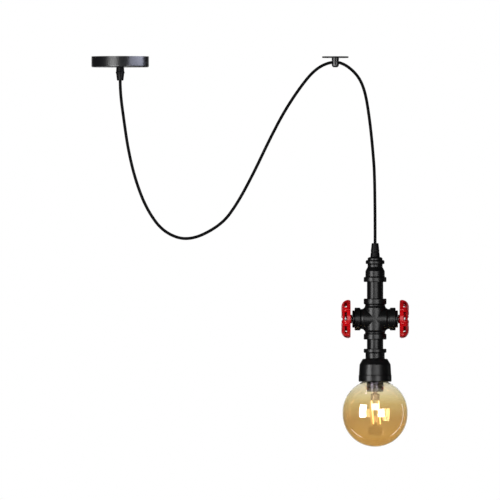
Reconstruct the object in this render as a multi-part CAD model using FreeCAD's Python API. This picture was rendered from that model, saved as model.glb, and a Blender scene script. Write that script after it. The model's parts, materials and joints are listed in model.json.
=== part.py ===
"""Ceiling lamp: a rose, a swagged cord, a ceiling holder and a pendant made of pipe fittings.

Units are millimetres. The origin is the middle of the rose's ceiling face, +Z is up and the
pendant hangs to the +X side. Every piece is a separate solid in its own STEP file.
"""

import FreeCAD, Part
import math
import os

V = FreeCAD.Vector
UP = V(0, 0, 1)
RIGHT = V(1, 0, 0)
AWAY = V(0, 1, 0)
ORIGIN = V(0, 0, 0)

# Clearances that the fits are worked out from, and how far a cutter runs past what it cuts.
FIT = 0.1
LOOSE = 0.4
TOUCH = 0.02
PAST = 1.0

# Broken edges. A corner under the smallest round is a flat bevel.
SMALLEST_ROUND = 1.05
FINE_BEVEL = 0.4
BEVEL = 0.8
SCREW_SLOT_WIDTH = 0.8
SCREW_SLOT_DEPTH = 0.9

# Cord. Its route is X and Z of each corner, from the rose to the pendant.
CORD_D = 5.0
CORE_D = 2.0
CORE_APART = 2.4
ROSE_EXIT_Z = -39.8
PENDANT_X = 420.6
PENDANT_TOP_Z = -308.0
HOLDER_X = 355.0
CORD_AT_HOLDER_Z = -9.5
ROUTE = [
    (0.0, ROSE_EXIT_Z),
    (0.0, -60.0),
    (6.5, -108.0),
    (13.0, -153.0),
    (25.0, -204.0),
    (44.0, -253.0),
    (72.0, -291.0),
    (114.0, -305.0),
    (166.0, -279.0),
    (192.0, -245.0),
    (220.0, -193.0),
    (245.0, -140.0),
    (271.0, -90.0),
    (299.0, -48.0),
    (321.0, -22.0),
    (344.0, CORD_AT_HOLDER_Z),
    (366.0, CORD_AT_HOLDER_Z),
    (391.0, -29.0),
    (404.0, -56.0),
    (411.5, -103.0),
    (416.5, -150.0),
    (PENDANT_X, -205.0),
    (PENDANT_X, PENDANT_TOP_Z),
]
ARC_SHARE = 0.45
SIDE_SWING_Z = -236.0
FRONT_SWING_Z = -248.0

# Rose: a pressed cup on a strap that is screwed to the ceiling.
ROSE_D = 95.0
ROSE_HEIGHT = 18.0
ROSE_SHEET = 1.0
ROSE_EDGE_R = 1.2
STRAP_WIDTH = 20.0
STRAP_SHEET = 2.0
STRAP_END_GAP = 2.0
STRAP_BEND_R = 2.5
TAB_DROP = 12.0
SLOT_SPACING = 50.0
SLOT_LENGTH = 12.0
SLOT_WIDTH = 4.6
WIRE_HOLE_D = 10.0
SIDE_SCREW_D = 4.0
SIDE_SCREW_LENGTH = 6.0
SIDE_SCREW_Z = -8.0
SOCKET_DRIVE_D = 2.0
SOCKET_DRIVE_DEPTH = 2.0

# Terminal block on the strap's lug.
BLOCK_WAYS = 3
BLOCK_PITCH = 8.0
BLOCK_DEPTH = 14.0
BLOCK_HEIGHT = 10.5
BLOCK_WALL = 1.6
TURRET_HEIGHT = 2.6
LUG_WIDTH = 12.0
TERMINAL_TUBE_D = 4.0
TERMINAL_BORE_D = 2.6
TERMINAL_SCREW_D = 2.6
TERMINAL_SCREW_LENGTH = 3.2
TERMINAL_SCREW_APART = 7.0
BLOCK_SCREW_D = 2.5
BLOCK_SCREW_HEAD_D = 4.2
BLOCK_SCREW_HEAD_HEIGHT = 1.6
EARTH_SCREW_D = 3.5
EARTH_HEAD_D = 7.0
EARTH_HEAD_HEIGHT = 2.4
EARTH_SCREW_X = -13.0
SHEATH_PAST_STUB = 1.0
CORE_BEND_BACK = 4.0

# Cord grips: a threaded body, a clamping nut and a lock nut.
THREAD_D = 10.0
LOCK_NUT_FLATS = 14.0
LOCK_NUT_HEIGHT = 3.5
STUB_PAST_NUT = 1.5
ROSE_COLLAR_TOP_D = 12.7
ROSE_COLLAR_D = 13.6
ROSE_COLLAR_HEIGHT = 6.6
GRIP_RIDGE_D = 14.7
GRIP_RIDGE_HEIGHT = 3.4
GRIP_SHOULDER_D = 13.4
ROSE_GRIP_TIP_D = 10.7
COLLET_D = 9.6
COLLET_LENGTH = 8.0
GRIP_FLUTES = 10
GRIP_FLUTE_D = 1.4
PENDANT_GRIP_TIP_D = 11.2
PENDANT_GRIP_SHOULDER_D = 14.2
PENDANT_GRIP_CONE_D = 13.8
PENDANT_GRIP_NUT_LENGTH = 15.0
PENDANT_GRIP_BODY_D = 15.9
PENDANT_GRIP_BODY_HEIGHT = 8.0
GRIP_MOUTH_DEPTH = 2.0
GRIP_MOUTH_GAP = 1.6
STUB_PAST_BUSH = 2.0

# Ceiling holder: a thin plate with a bored post that carries the cord.
PLATE_D = 43.6
PLATE_SHEET = 1.6
PLATE_HOLE_SPACING = 30.0
PLATE_HOLE_D = 4.2
PLATE_SINK_D = 6.6
POST_D = 12.0
POST_LENGTH = 16.4
POST_EDGE_R = 1.6
POST_BORE_D = 6.8
POST_SCREW_D = 3.0
POST_SCREW_HEAD_D = 5.4
POST_SCREW_ROOM = 0.6
GRUB_D = 4.0
GRUB_RECESS = 0.8

# Pipe fittings. Threads are plain steps at their fitted size.
PIPE_D = 26.9
PIPE_WALL = 2.65
PIPE_THREAD_D = 26.4
PIPE_THREAD_LENGTH = 13.0
UPPER_NIPPLE_SHOWN = 27.3
LOWER_NIPPLE_SHOWN = 15.2
SMALL_THREAD_D = 18.6
SMALL_THREAD_LENGTH = 11.0
FITTING_EDGE_R = 1.3

# Bush that closes the top reducer.
BUSH_TOP_D = 19.0
BUSH_D = 24.6
BUSH_HEIGHT = 4.9
BUSH_SLOPE_HEIGHT = 1.6
BUSH_ROUND = 2.0

# Top reducer.
REDUCER_BEAD_D = 31.2
REDUCER_BEAD_HEIGHT = 6.6
REDUCER_NECK_D = 24.8
REDUCER_NECK_HEIGHT = 5.0
REDUCER_BODY_D = 32.0
REDUCER_FLARE_HEIGHT = 6.6
REDUCER_BODY_HEIGHT = 9.9
BEAD_D = 37.6
BEAD_HEIGHT = 8.2

# Cross.
CROSS_HALF = 33.8
CROSS_ARM_D = 33.0
CROSS_BAND_D = 37.7
CROSS_BAND_WIDTH = 8.7
CROSS_BAND_SLOPE = 1.6
CROSS_CORNER_R = 6.6
CROSS_PASSAGE_D = 22.0

# Side plugs, spindles and handwheels. Distances out are from the cross's centre.
PLUG_D = 28.5
PLUG_HEAD = 3.8
SPINDLE_D = 8.0
SPINDLE_INSIDE = 11.0
SPINDLE_FLATS = 13.0
SPINDLE_HEAD = 5.0
SPINDLE_CROWN = 1.0
WASHER_D = 15.0
WASHER_SHEET = 1.4
WHEEL_OUT = 40.6
WHEEL_D = 61.4
WHEEL_DEPTH = 13.2
WHEEL_SHOULDER_R = 10.0
WHEEL_WALL = 3.0
WHEEL_EYE_D = 25.0
WHEEL_HUB_D = 14.4
WHEEL_HUB_DEPTH = 6.6
WHEEL_WEB = 2.6
WHEEL_WINDOWS = 8
WHEEL_WINDOW_ANGLE = 27.6
WHEEL_WINDOW_START = 5.8
WHEEL_WINDOW_PHASE = -9.2
WHEEL_EYE_WINDOW_ANGLE = 24.0
WHEEL_EYE_WINDOW_MARGIN = 1.0
WHEEL_RIDGE_D = 5.2
WHEEL_RIDGE_PROUD = 1.8
WHEEL_RIM_BEVEL = 0.4
WHEEL_HUB_BEVEL = 1.0
WHEEL_DISH_ROUND = 2.0
WHEEL_EYE_ROUND = 1.2
HUB_GAP = 0.3

# Bell: the large reducer that hoods the lampholder.
BELL_BEAD_HEIGHT = 6.6
BELL_NECK_D = 31.7
BELL_NECK_HEIGHT = 9.9
BELL_LEDGE_D = 40.6
BELL_SHOULDER_D = 51.4
BELL_SHOULDER_HEIGHT = 9.4
BELL_BODY_D = 53.4
BELL_BODY_HEIGHT = 17.0
BELL_RIM_D = 54.4
BELL_RIM_HEIGHT = 11.5
BELL_RIM_GROOVE = 0.8
BELL_BORE_D = 40.4
BELL_MOUTH_D = 45.0
BELL_MOUTH_DEPTH = 3.2
BELL_NECK_BORE_D = 24.0
BELL_NECK_BORE_LENGTH = 4.2

# Lampholder.
DISC_SHEET = 1.5
STEM_BORE_D = 7.0
STEM_PAST_NUT = 2.0
HOUSING_BOTTOM_GAP = 7.7
HOUSING_DOME_D = 23.4
HOUSING_BORE_D = 28.6
HOUSING_TOP = 5.6
HOUSING_STEM_DEPTH = 3.4
SHELL_SHEET = 0.5
SHELL_LENGTH = 17.0
SHELL_LIP = 1.0
CONTACT_ROOM_D = 18.0
CONTACT_ROOM_HEIGHT = 3.0
TONGUE_LENGTH = 12.0
TONGUE_WIDTH = 6.0
TONGUE_SHEET = 0.5
TONGUE_DOME_D = 5.0
TONGUE_DOME = 0.9

# Bulb.
CAP_D = 26.2
CAP_LENGTH = 18.0
CAP_SHEET = 0.5
CAP_SHOULDER_D = 22.0
CAP_SHOULDER = 2.2
INSULATOR_HEIGHT = 2.4
INSULATOR_TOP_D = 11.0
INSULATOR_PLUG_D = 13.0
INSULATOR_PLUG_DEPTH = 1.5
INSULATOR_FOOT_D = 19.0
BULB_CONTACT_D = 9.0
BULB_CONTACT_HEIGHT = 1.4
GLOBE_D = 107.6
GLOBE_STRETCH = 3.9
GLASS_SHEET = 1.2
NECK_D = 24.8
NECK_IN_CAP = 9.0
NECK_BELOW_CAP = 2.5
NECK_FLARE_R = 8.0
COLLAR_D = 28.0
COLLAR_LENGTH = 27.5
COLLAR_NECK_LENGTH = 5.0
COLLAR_CONE_LENGTH = 7.0
COLLAR_CONE_ROUND = 3.0
COLLAR_EDGE_R = 1.5
STEM_NECK_D = 7.4
STEM_NECK_HEIGHT = 3.4
STEM_HEAD_D = 15.8
STEM_FOOT_D = 14.4
STEM_HEAD_HEIGHT = 9.9
STEM_HEAD_ROUND = 2.0
STEM_NECK_ROUND = 1.2
FILAMENT_D = 1.8
FILAMENT_LENGTH = 38.0
FILAMENT_APART_X = 11.4
FILAMENT_APART_Y = 6.0
FILAMENT_LEAN = 3.0
LEAD_D = 0.8
LEAD_LENGTH = 2.0

# Heights worked out from the sizes above, from the pendant's top down.
PENDANT_GRIP_BODY_Z = PENDANT_TOP_Z - PENDANT_GRIP_NUT_LENGTH
BUSH_Z = PENDANT_GRIP_BODY_Z - PENDANT_GRIP_BODY_HEIGHT
REDUCER_Z = BUSH_Z - BUSH_HEIGHT
REDUCER_LENGTH = (
    REDUCER_BEAD_HEIGHT + REDUCER_NECK_HEIGHT + REDUCER_FLARE_HEIGHT + REDUCER_BODY_HEIGHT + BEAD_HEIGHT
)
UPPER_NIPPLE_Z = REDUCER_Z - REDUCER_LENGTH
CROSS_TOP_Z = UPPER_NIPPLE_Z - UPPER_NIPPLE_SHOWN
CROSS_Z = CROSS_TOP_Z - CROSS_HALF
LOWER_NIPPLE_Z = CROSS_Z - CROSS_HALF
BELL_Z = LOWER_NIPPLE_Z - LOWER_NIPPLE_SHOWN
BELL_LENGTH = (
    BELL_BEAD_HEIGHT + BELL_NECK_HEIGHT + BELL_SHOULDER_HEIGHT + BELL_BODY_HEIGHT + BELL_RIM_HEIGHT
)
BELL_BOTTOM_Z = BELL_Z - BELL_LENGTH
DISC_TOP_Z = BELL_Z - PIPE_THREAD_LENGTH
DISC_BOTTOM_Z = DISC_TOP_Z - DISC_SHEET
CHAMBER_TOP_Z = DISC_BOTTOM_Z - BELL_NECK_BORE_LENGTH
HOUSING_TOP_Z = DISC_BOTTOM_Z
HOUSING_BOTTOM_Z = BELL_BOTTOM_Z + HOUSING_BOTTOM_GAP
CONTACT_ROOM_TOP_Z = HOUSING_TOP_Z - HOUSING_TOP
CONTACT_ROOM_BOTTOM_Z = CONTACT_ROOM_TOP_Z - CONTACT_ROOM_HEIGHT
TONGUE_BOTTOM_Z = CONTACT_ROOM_TOP_Z - TONGUE_SHEET - TONGUE_DOME
BULB_TOP_Z = TONGUE_BOTTOM_Z - TOUCH
INSULATOR_TOP_Z = BULB_TOP_Z - BULB_CONTACT_HEIGHT
CAP_TOP_Z = INSULATOR_TOP_Z - INSULATOR_HEIGHT
CAP_BOTTOM_Z = CAP_TOP_Z - CAP_LENGTH
FLARE_OUT = NECK_D / 2 + NECK_FLARE_R
FLARE_Z = CAP_BOTTOM_Z - NECK_BELOW_CAP
GLOBE_HIGH_Z = FLARE_Z - math.sqrt((GLOBE_D / 2 + NECK_FLARE_R) ** 2 - FLARE_OUT ** 2)
GLOBE_LOW_Z = GLOBE_HIGH_Z - GLOBE_STRETCH
COLLAR_TOP_Z = CAP_BOTTOM_Z - FIT
COLLAR_BOTTOM_Z = COLLAR_TOP_Z - COLLAR_LENGTH
STEM_HEAD_Z = COLLAR_BOTTOM_Z - STEM_NECK_HEIGHT
FILAMENT_TOP_Z = STEM_HEAD_Z - STEM_HEAD_HEIGHT - LEAD_LENGTH


def save(name, solids):
    """Write one node: a solid, or a list of separate solids."""
    shape = Part.makeCompound(solids) if isinstance(solids, list) else solids
    shape.exportStep("parts/" + name + ".step")


def rounded_edges(corners, closed=True):
    """Edges of an outline in the XZ plane. A corner is (x, z) or (x, z, radius).

    A corner is rounded by its radius, or by a flat bevel where the radius is under SMALLEST_ROUND.
    """
    points = [V(c[0], 0, c[1]) for c in corners]
    radii = [c[2] if len(c) > 2 else 0.0 for c in corners]
    count = len(points)
    joins = []
    for i in range(count):
        if radii[i] <= 0.0:
            joins.append((points[i], None, points[i]))
            continue
        joins.append(corner_arc(points[i - 1], points[i], points[(i + 1) % count], radii[i]))
    edges = []
    for i in range(count if closed else count - 1):
        start, middle, end = joins[i]
        following = joins[(i + 1) % count][0]
        if middle is not None and radii[i] < SMALLEST_ROUND:
            edges.append(Part.LineSegment(start, end).toShape())
        elif middle is not None:
            edges.append(Part.Arc(start, middle, end).toShape())
        if end.distanceToPoint(following) > 1e-6:
            edges.append(Part.LineSegment(end, following).toShape())
    return edges


def corner_arc(before, corner, after, radius):
    """Start, middle and end of the arc that rounds a corner, limited by its two sides."""
    back = (before - corner).normalize()
    ahead = (after - corner).normalize()
    half = back.getAngle(ahead) / 2
    longest = 0.49 * min(before.distanceToPoint(corner), after.distanceToPoint(corner))
    reach = min(radius / math.tan(half), longest)
    radius = reach * math.tan(half)
    start = corner + back * reach
    end = corner + ahead * reach
    inward = (back + ahead).normalize()
    middle = corner + inward * (radius / math.sin(half) - radius)
    return start, middle, end


def turned(corners):
    """A solid turned about the Z axis from an outline of (radius, z) corners."""
    face = Part.Face(Part.Wire(rounded_edges(corners)))
    return face.revolve(ORIGIN, UP, 360)


def cylinder(diameter, low, high, x=0.0, y=0.0):
    """A vertical cylinder between two heights."""
    return Part.makeCylinder(diameter / 2, high - low, V(x, y, low), UP)


def bar(diameter, start, end):
    """A cylinder from one point to another."""
    way = end - start
    return Part.makeCylinder(diameter / 2, way.Length, start, way)


def hexagon(flats, low, high):
    """A vertical hexagonal prism."""
    radius = flats / math.sqrt(3)
    corners = [V(radius * math.cos(math.radians(60 * i)), radius * math.sin(math.radians(60 * i)), low)
               for i in range(6)]
    face = Part.Face(Part.makePolygon(corners + corners[:1]))
    return face.extrude(V(0, 0, high - low))


def slot(length, width, low, high, x):
    """A round-ended slot cutter along X."""
    half = (length - width) / 2
    middle = Part.makeBox(2 * half, width, high - low, V(x - half, -width / 2, low))
    ends = [cylinder(width, low, high, x + side * half) for side in (-1, 1)]
    return middle.fuse(ends)


def countersink(hole, head, low, high, x=0.0):
    """A cutter for a countersunk screw hole whose wide end is at the second height."""
    way = 1 if high > low else -1
    rise = (head - hole) / 2
    cone = Part.makeCone(hole / 2, head / 2, rise, V(x, 0, high - way * rise), UP * way)
    return cone.fuse(Part.makeCylinder(hole / 2, abs(high - low), V(x, 0, low), UP * way))


def screw_slot(length, low, x=0.0):
    """A cutter for a screwdriver slot along X, from the height of its lower face."""
    half = SCREW_SLOT_WIDTH / 2
    return Part.makeBox(length, SCREW_SLOT_WIDTH, SCREW_SLOT_DEPTH, V(x - length / 2, -half, low))


def hang(shape, x=PENDANT_X):
    """Move a piece built on the Z axis to the pendant or the holder."""
    shape = shape.copy()
    shape.translate(V(x, 0, 0))
    return shape


def face_out(shape, side):
    """Turn a piece built along +Z so that it points out of the cross along +X or -X."""
    shape = shape.copy()
    shape.rotate(ORIGIN, AWAY, 90 * side)
    shape.translate(V(PENDANT_X, 0, CROSS_Z))
    return shape


# Cord.
def route_edges(points):
    """Straight runs and the largest tangent arcs that they allow, printing each radius."""
    edges = []
    at = points[0]
    radii = []
    for before, corner, after in zip(points, points[1:], points[2:]):
        shorter = min(before.distanceToPoint(corner), corner.distanceToPoint(after))
        turn = (corner - before).getAngle(after - corner)
        radius = ARC_SHARE * shorter / math.tan(turn / 2)
        radii.append(round(radius, 1))
        start, middle, end = corner_arc(before, corner, after, radius)
        edges.append(Part.LineSegment(at, start))
        edges.append(Part.Arc(start, middle, end))
        at = end
    edges.append(Part.LineSegment(at, points[-1]))
    print("arc radii", radii)
    return edges


def stretches(edges, joins):
    """Split a route into stretches at points that lie on its straight runs."""
    parts = [[]]
    for edge in edges:
        here = []
        if isinstance(edge, Part.LineSegment):
            start, end = edge.StartPoint, edge.EndPoint
            here = [p for p in joins
                    if p.distanceToLine(start, end - start) < 1e-6 and (p - start).dot(end - p) > 0]
        for point in here:
            parts[-1].append(Part.LineSegment(start, point))
            parts.append([])
            start = point
        parts[-1].append(Part.LineSegment(start, end) if here else edge)
    return parts


def tube(edges, diameter):
    """A round tube along connected edges, with its volume checked against section times length."""
    path = Part.Wire([edge.toShape() for edge in edges])
    first = edges[0]
    start = first.StartPoint
    circle = Part.Wire(Part.makeCircle(diameter / 2, start, first.EndPoint - start))
    solid = path.makePipeShell([circle], True, False)
    expected = math.pi * diameter ** 2 / 4 * path.Length
    print("tube length", round(path.Length, 1), "volume over expected", round(solid.Volume / expected, 4))
    return solid


def free_cord():
    points = [V(x, 0, z) for x, z in ROUTE]
    joins = [
        V(HOLDER_X, 0, CORD_AT_HOLDER_Z),
        V(PENDANT_X, 0, SIDE_SWING_Z),
        V(PENDANT_X, 0, FRONT_SWING_Z),
    ]
    names = ["swag_cord", "arch_cord", "link_cord", "drop_cord"]
    for name, edges in zip(names, stretches(route_edges(points), joins)):
        save(name, tube(edges, CORD_D))


def wire(points, diameter):
    return tube(route_edges([V(*p) for p in points]), diameter)


# Rose.
ROSE_BORE_R = ROSE_D / 2 - ROSE_SHEET
STRAP_HALF = ROSE_BORE_R - STRAP_END_GAP
LOCK_NUT_TOP_Z = -ROSE_HEIGHT + ROSE_SHEET + LOCK_NUT_HEIGHT
STUB_TOP_Z = LOCK_NUT_TOP_Z + STUB_PAST_NUT
BLOCK_LENGTH = BLOCK_WAYS * BLOCK_PITCH
BLOCK_FRONT_Y = STRAP_WIDTH / 2 + LOOSE
BLOCK_MIDDLE_Y = BLOCK_FRONT_Y + BLOCK_DEPTH / 2
BLOCK_TOP_Z = -STRAP_SHEET
TURRET_TOP_Z = BLOCK_TOP_Z - BLOCK_HEIGHT + TURRET_HEIGHT
BLOCK_SCREW_X = [side * BLOCK_PITCH / 2 for side in (-1, 1)]
TERMINAL_Z = BLOCK_TOP_Z - BLOCK_HEIGHT / 2 + BLOCK_WALL / 2
TERMINAL_X = [BLOCK_PITCH * (i - (BLOCK_WAYS - 1) / 2) for i in range(BLOCK_WAYS)]
TERMINAL_SCREW_Y = [BLOCK_MIDDLE_Y + side * TERMINAL_SCREW_APART / 2 for side in (-1, 1)]


def rose_cover():
    radius = ROSE_D / 2
    cup = turned([
        (radius, 0.0),
        (radius, -ROSE_HEIGHT, ROSE_EDGE_R + ROSE_SHEET),
        (THREAD_D / 2, -ROSE_HEIGHT),
        (THREAD_D / 2, -ROSE_HEIGHT + ROSE_SHEET),
        (ROSE_BORE_R, -ROSE_HEIGHT + ROSE_SHEET, ROSE_EDGE_R),
        (ROSE_BORE_R, 0.0),
    ])
    reach = V(radius + PAST, 0, 0)
    level = V(0, 0, SIDE_SCREW_Z)
    across = bar(SIDE_SCREW_D + 2 * FIT, level - reach, level + reach)
    save("rose_cover", cup.cut(across))


def rose_bracket():
    half = STRAP_HALF
    inner = half - STRAP_SHEET
    outline = rounded_edges([
        (-half, -TAB_DROP),
        (-half, 0.0, STRAP_BEND_R),
        (half, 0.0, STRAP_BEND_R),
        (half, -TAB_DROP),
        (inner, -TAB_DROP),
        (inner, -STRAP_SHEET, STRAP_BEND_R - STRAP_SHEET),
        (-inner, -STRAP_SHEET, STRAP_BEND_R - STRAP_SHEET),
        (-inner, -TAB_DROP),
    ])
    strap = Part.Face(Part.Wire(outline)).extrude(V(0, STRAP_WIDTH, 0))
    strap.translate(V(0, -STRAP_WIDTH / 2, 0))
    lug_reach = LOOSE + BLOCK_DEPTH
    lug = Part.makeBox(LUG_WIDTH, lug_reach, STRAP_SHEET, V(-LUG_WIDTH / 2, STRAP_WIDTH / 2, -STRAP_SHEET))
    strap = strap.fuse(lug)
    low = -STRAP_SHEET - PAST
    reach = V(half + PAST, 0, 0)
    level = V(0, 0, SIDE_SCREW_Z)
    cutters = [slot(SLOT_LENGTH, SLOT_WIDTH, low, PAST, side * SLOT_SPACING / 2) for side in (-1, 1)]
    cutters.append(cylinder(WIRE_HOLE_D, low, PAST))
    cutters.append(cylinder(EARTH_SCREW_D, low, PAST, EARTH_SCREW_X))
    cutters.extend(cylinder(BLOCK_SCREW_D, low, PAST, x, BLOCK_MIDDLE_Y) for x in BLOCK_SCREW_X)
    cutters.append(bar(SIDE_SCREW_D, level - reach, level + reach))
    save("rose_bracket", strap.cut(cutters).removeSplitter())


def rose_side_screws():
    screws = []
    radius = ROSE_D / 2
    for side in (-1, 1):
        outer = V(side * radius, 0, SIDE_SCREW_Z)
        inner = V(side * (radius - SIDE_SCREW_LENGTH), 0, SIDE_SCREW_Z)
        drive = V(side * (radius - SOCKET_DRIVE_DEPTH), 0, SIDE_SCREW_Z)
        body = bar(SIDE_SCREW_D - 2 * TOUCH, inner, outer)
        screws.append(body.cut(bar(SOCKET_DRIVE_D, drive, outer)))
    save("rose_side_screws", screws)


def earth_screw():
    low = -STRAP_SHEET - EARTH_HEAD_HEIGHT
    head = cylinder(EARTH_HEAD_D, low, -STRAP_SHEET, EARTH_SCREW_X)
    shank = cylinder(EARTH_SCREW_D - 2 * TOUCH, -STRAP_SHEET, -TOUCH, EARTH_SCREW_X)
    save("earth_screw", head.cut(screw_slot(EARTH_HEAD_D, low, EARTH_SCREW_X)).fuse(shank))


def terminal_block():
    """Block with a bore and two screw turrets for each way."""
    low = BLOCK_TOP_Z - BLOCK_HEIGHT
    corner = V(-BLOCK_LENGTH / 2, BLOCK_FRONT_Y, TURRET_TOP_Z)
    body = Part.makeBox(BLOCK_LENGTH, BLOCK_DEPTH, BLOCK_TOP_Z - TURRET_TOP_Z, corner)
    turret_d = TERMINAL_SCREW_D + 2 * BLOCK_WALL
    for x in TERMINAL_X:
        for y in TERMINAL_SCREW_Y:
            body = body.fuse(cylinder(turret_d, low, TURRET_TOP_Z, x, y))
    for x in BLOCK_SCREW_X:
        body = body.cut(cylinder(BLOCK_SCREW_D + 2 * FIT, low, BLOCK_TOP_Z, x, BLOCK_MIDDLE_Y))
    back_y = BLOCK_FRONT_Y + BLOCK_DEPTH
    for x in TERMINAL_X:
        bore = bar(TERMINAL_TUBE_D + 2 * FIT, V(x, BLOCK_FRONT_Y, TERMINAL_Z), V(x, back_y, TERMINAL_Z))
        body = body.cut(bore)
        for y in TERMINAL_SCREW_Y:
            body = body.cut(cylinder(TERMINAL_SCREW_D + 2 * FIT, low, TERMINAL_Z, x, y))
    save("terminal_block", body)


def block_screws():
    screws = []
    low = TURRET_TOP_Z - BLOCK_SCREW_HEAD_HEIGHT
    for x in BLOCK_SCREW_X:
        slot_cut = screw_slot(BLOCK_SCREW_HEAD_D, low, x)
        slot_cut.translate(V(0, BLOCK_MIDDLE_Y, 0))
        head = cylinder(BLOCK_SCREW_HEAD_D, low, TURRET_TOP_Z, x, BLOCK_MIDDLE_Y).cut(slot_cut)
        shank = cylinder(BLOCK_SCREW_D - 2 * TOUCH, TURRET_TOP_Z, -TOUCH, x, BLOCK_MIDDLE_Y)
        screws.append(head.fuse(shank))
    save("block_screws", screws)


def terminal_metal():
    tubes = []
    screws = []
    for x in TERMINAL_X:
        start = V(x, BLOCK_FRONT_Y + FIT, TERMINAL_Z)
        end = V(x, BLOCK_FRONT_Y + BLOCK_DEPTH - FIT, TERMINAL_Z)
        body = bar(TERMINAL_TUBE_D, start, end).cut(bar(TERMINAL_BORE_D, start, end))
        for y in TERMINAL_SCREW_Y:
            low = TERMINAL_Z - TERMINAL_TUBE_D
            body = body.cut(cylinder(TERMINAL_SCREW_D + FIT, low, TERMINAL_Z, x, y))
            top = TERMINAL_Z - CORE_D / 2 - FIT
            screws.append(cylinder(TERMINAL_SCREW_D, top - TERMINAL_SCREW_LENGTH, top, x, y))
        tubes.append(body)
    save("terminal_tubes", tubes)
    save("terminal_screws", screws)


def rose_grip():
    """Grip body, lock nut and clamping nut under the rose."""
    under = -ROSE_HEIGHT
    collar = under - ROSE_COLLAR_HEIGHT
    stub_r = THREAD_D / 2 - FIT
    bore_r = CORD_D / 2 + FIT
    body = turned([
        (stub_r, STUB_TOP_Z, FINE_BEVEL),
        (stub_r, under),
        (ROSE_COLLAR_TOP_D / 2, under, FINE_BEVEL),
        (ROSE_COLLAR_D / 2, collar, FINE_BEVEL),
        (COLLET_D / 2, collar),
        (COLLET_D / 2, collar - COLLET_LENGTH),
        (bore_r, collar - COLLET_LENGTH),
        (bore_r, STUB_TOP_Z),
    ])
    save("rose_grip_body", body)
    nut = grip_nut(
        ROSE_GRIP_TIP_D, GRIP_SHOULDER_D, GRIP_RIDGE_D, GRIP_RIDGE_HEIGHT, collar, ROSE_EXIT_Z
    )
    save("rose_grip_nut", nut)
    floor = under + ROSE_SHEET
    lock = hexagon(LOCK_NUT_FLATS, floor, LOCK_NUT_TOP_Z).cut(cylinder(THREAD_D, floor, LOCK_NUT_TOP_Z))
    save("rose_lock_nut", lock)


def grip_nut(tip_d, shoulder_d, ridge_d, ridge_height, base, tip):
    """A hollow clamping nut that tapers from its ridge at the base to its tip."""
    way = 1 if tip > base else -1
    ridge = base + way * ridge_height
    bore_r = CORD_D / 2 + FIT
    room_r = COLLET_D / 2 + FIT
    room_end = base + way * (COLLET_LENGTH + FIT)
    mouth = tip - way * GRIP_MOUTH_DEPTH
    nut = turned([
        (room_r, base),
        (ridge_d / 2, base, BEVEL),
        (ridge_d / 2, ridge, BEVEL),
        (shoulder_d / 2, ridge),
        (tip_d / 2, tip, BEVEL),
        (bore_r + GRIP_MOUTH_GAP, tip),
        (bore_r, mouth, FINE_BEVEL),
        (bore_r, room_end),
        (room_r, room_end),
    ])
    flutes = []
    for i in range(GRIP_FLUTES):
        angle = 2 * math.pi * (i + 0.5) / GRIP_FLUTES
        out = V(math.cos(angle), math.sin(angle), 0)
        low = out * (ridge_d / 2 + GRIP_FLUTE_D / 4) + V(0, 0, base - way * PAST)
        high = out * (ridge_d / 2 + GRIP_FLUTE_D / 4) + V(0, 0, ridge + way * PAST)
        flutes.append(bar(GRIP_FLUTE_D, low, high))
    return nut.cut(flutes)


def rose_wiring():
    """The sheathed end inside the grip, and its two cores up to the terminals."""
    sheath_top = STUB_TOP_Z + SHEATH_PAST_STUB
    save("rose_cord_end", cylinder(CORD_D, ROSE_EXIT_Z, sheath_top))
    bend_z = -STRAP_SHEET - CORE_D
    cores = []
    for side in (-1, 1):
        near = side * CORE_APART / 2
        far = side * BLOCK_PITCH
        cores.append(wire([
            (near, 0, sheath_top),
            (near, 0, bend_z),
            (far, BLOCK_FRONT_Y - CORE_BEND_BACK, TERMINAL_Z),
            (far, BLOCK_FRONT_Y + BLOCK_DEPTH / 2, TERMINAL_Z),
        ], CORE_D))
    save("rose_cores", cores)


# Ceiling holder.
def ceiling_holder():
    low = -PLATE_SHEET
    plate = turned([(0.0, 0.0), (PLATE_D / 2, 0.0), (PLATE_D / 2, low, FINE_BEVEL), (0.0, low)])
    cutters = [
        countersink(PLATE_HOLE_D, PLATE_SINK_D, 0, low, side * PLATE_HOLE_SPACING / 2) for side in (-1, 1)
    ]
    cutters.append(countersink(POST_SCREW_D + 2 * FIT, POST_SCREW_HEAD_D + 2 * FIT, low, 0))
    save("holder_plate", hang(plate.cut(cutters), HOLDER_X))
    end = low - POST_LENGTH
    post = turned([
        (0.0, low),
        (POST_D / 2, low),
        (POST_D / 2, end, POST_EDGE_R),
        (0.0, end),
    ])
    across = bar(POST_BORE_D, V(-POST_D, 0, CORD_AT_HOLDER_Z), V(POST_D, 0, CORD_AT_HOLDER_Z))
    screw_end = CORD_AT_HOLDER_Z + POST_BORE_D / 2 + POST_SCREW_ROOM
    post = post.cut([
        across,
        cylinder(GRUB_D + 2 * TOUCH, end, CORD_AT_HOLDER_Z),
        cylinder(POST_SCREW_D + 2 * TOUCH, screw_end, low),
    ])
    save("holder_post", hang(post, HOLDER_X))
    grub_top = CORD_AT_HOLDER_Z - CORD_D / 2 - TOUCH
    grub = cylinder(GRUB_D, end + GRUB_RECESS, grub_top)
    driver = hexagon(SOCKET_DRIVE_D, end + GRUB_RECESS, end + GRUB_RECESS + SOCKET_DRIVE_DEPTH)
    save("holder_grub_screw", hang(grub.cut(driver), HOLDER_X))
    head = (POST_SCREW_HEAD_D - POST_SCREW_D) / 2
    screw = Part.makeCone(POST_SCREW_D / 2, POST_SCREW_HEAD_D / 2, head, V(0, 0, -head), UP)
    screw = screw.fuse(cylinder(POST_SCREW_D, screw_end + FIT, -head))
    save("holder_plate_screw", hang(screw.cut(screw_slot(POST_SCREW_HEAD_D, -SCREW_SLOT_DEPTH)), HOLDER_X))


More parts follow.
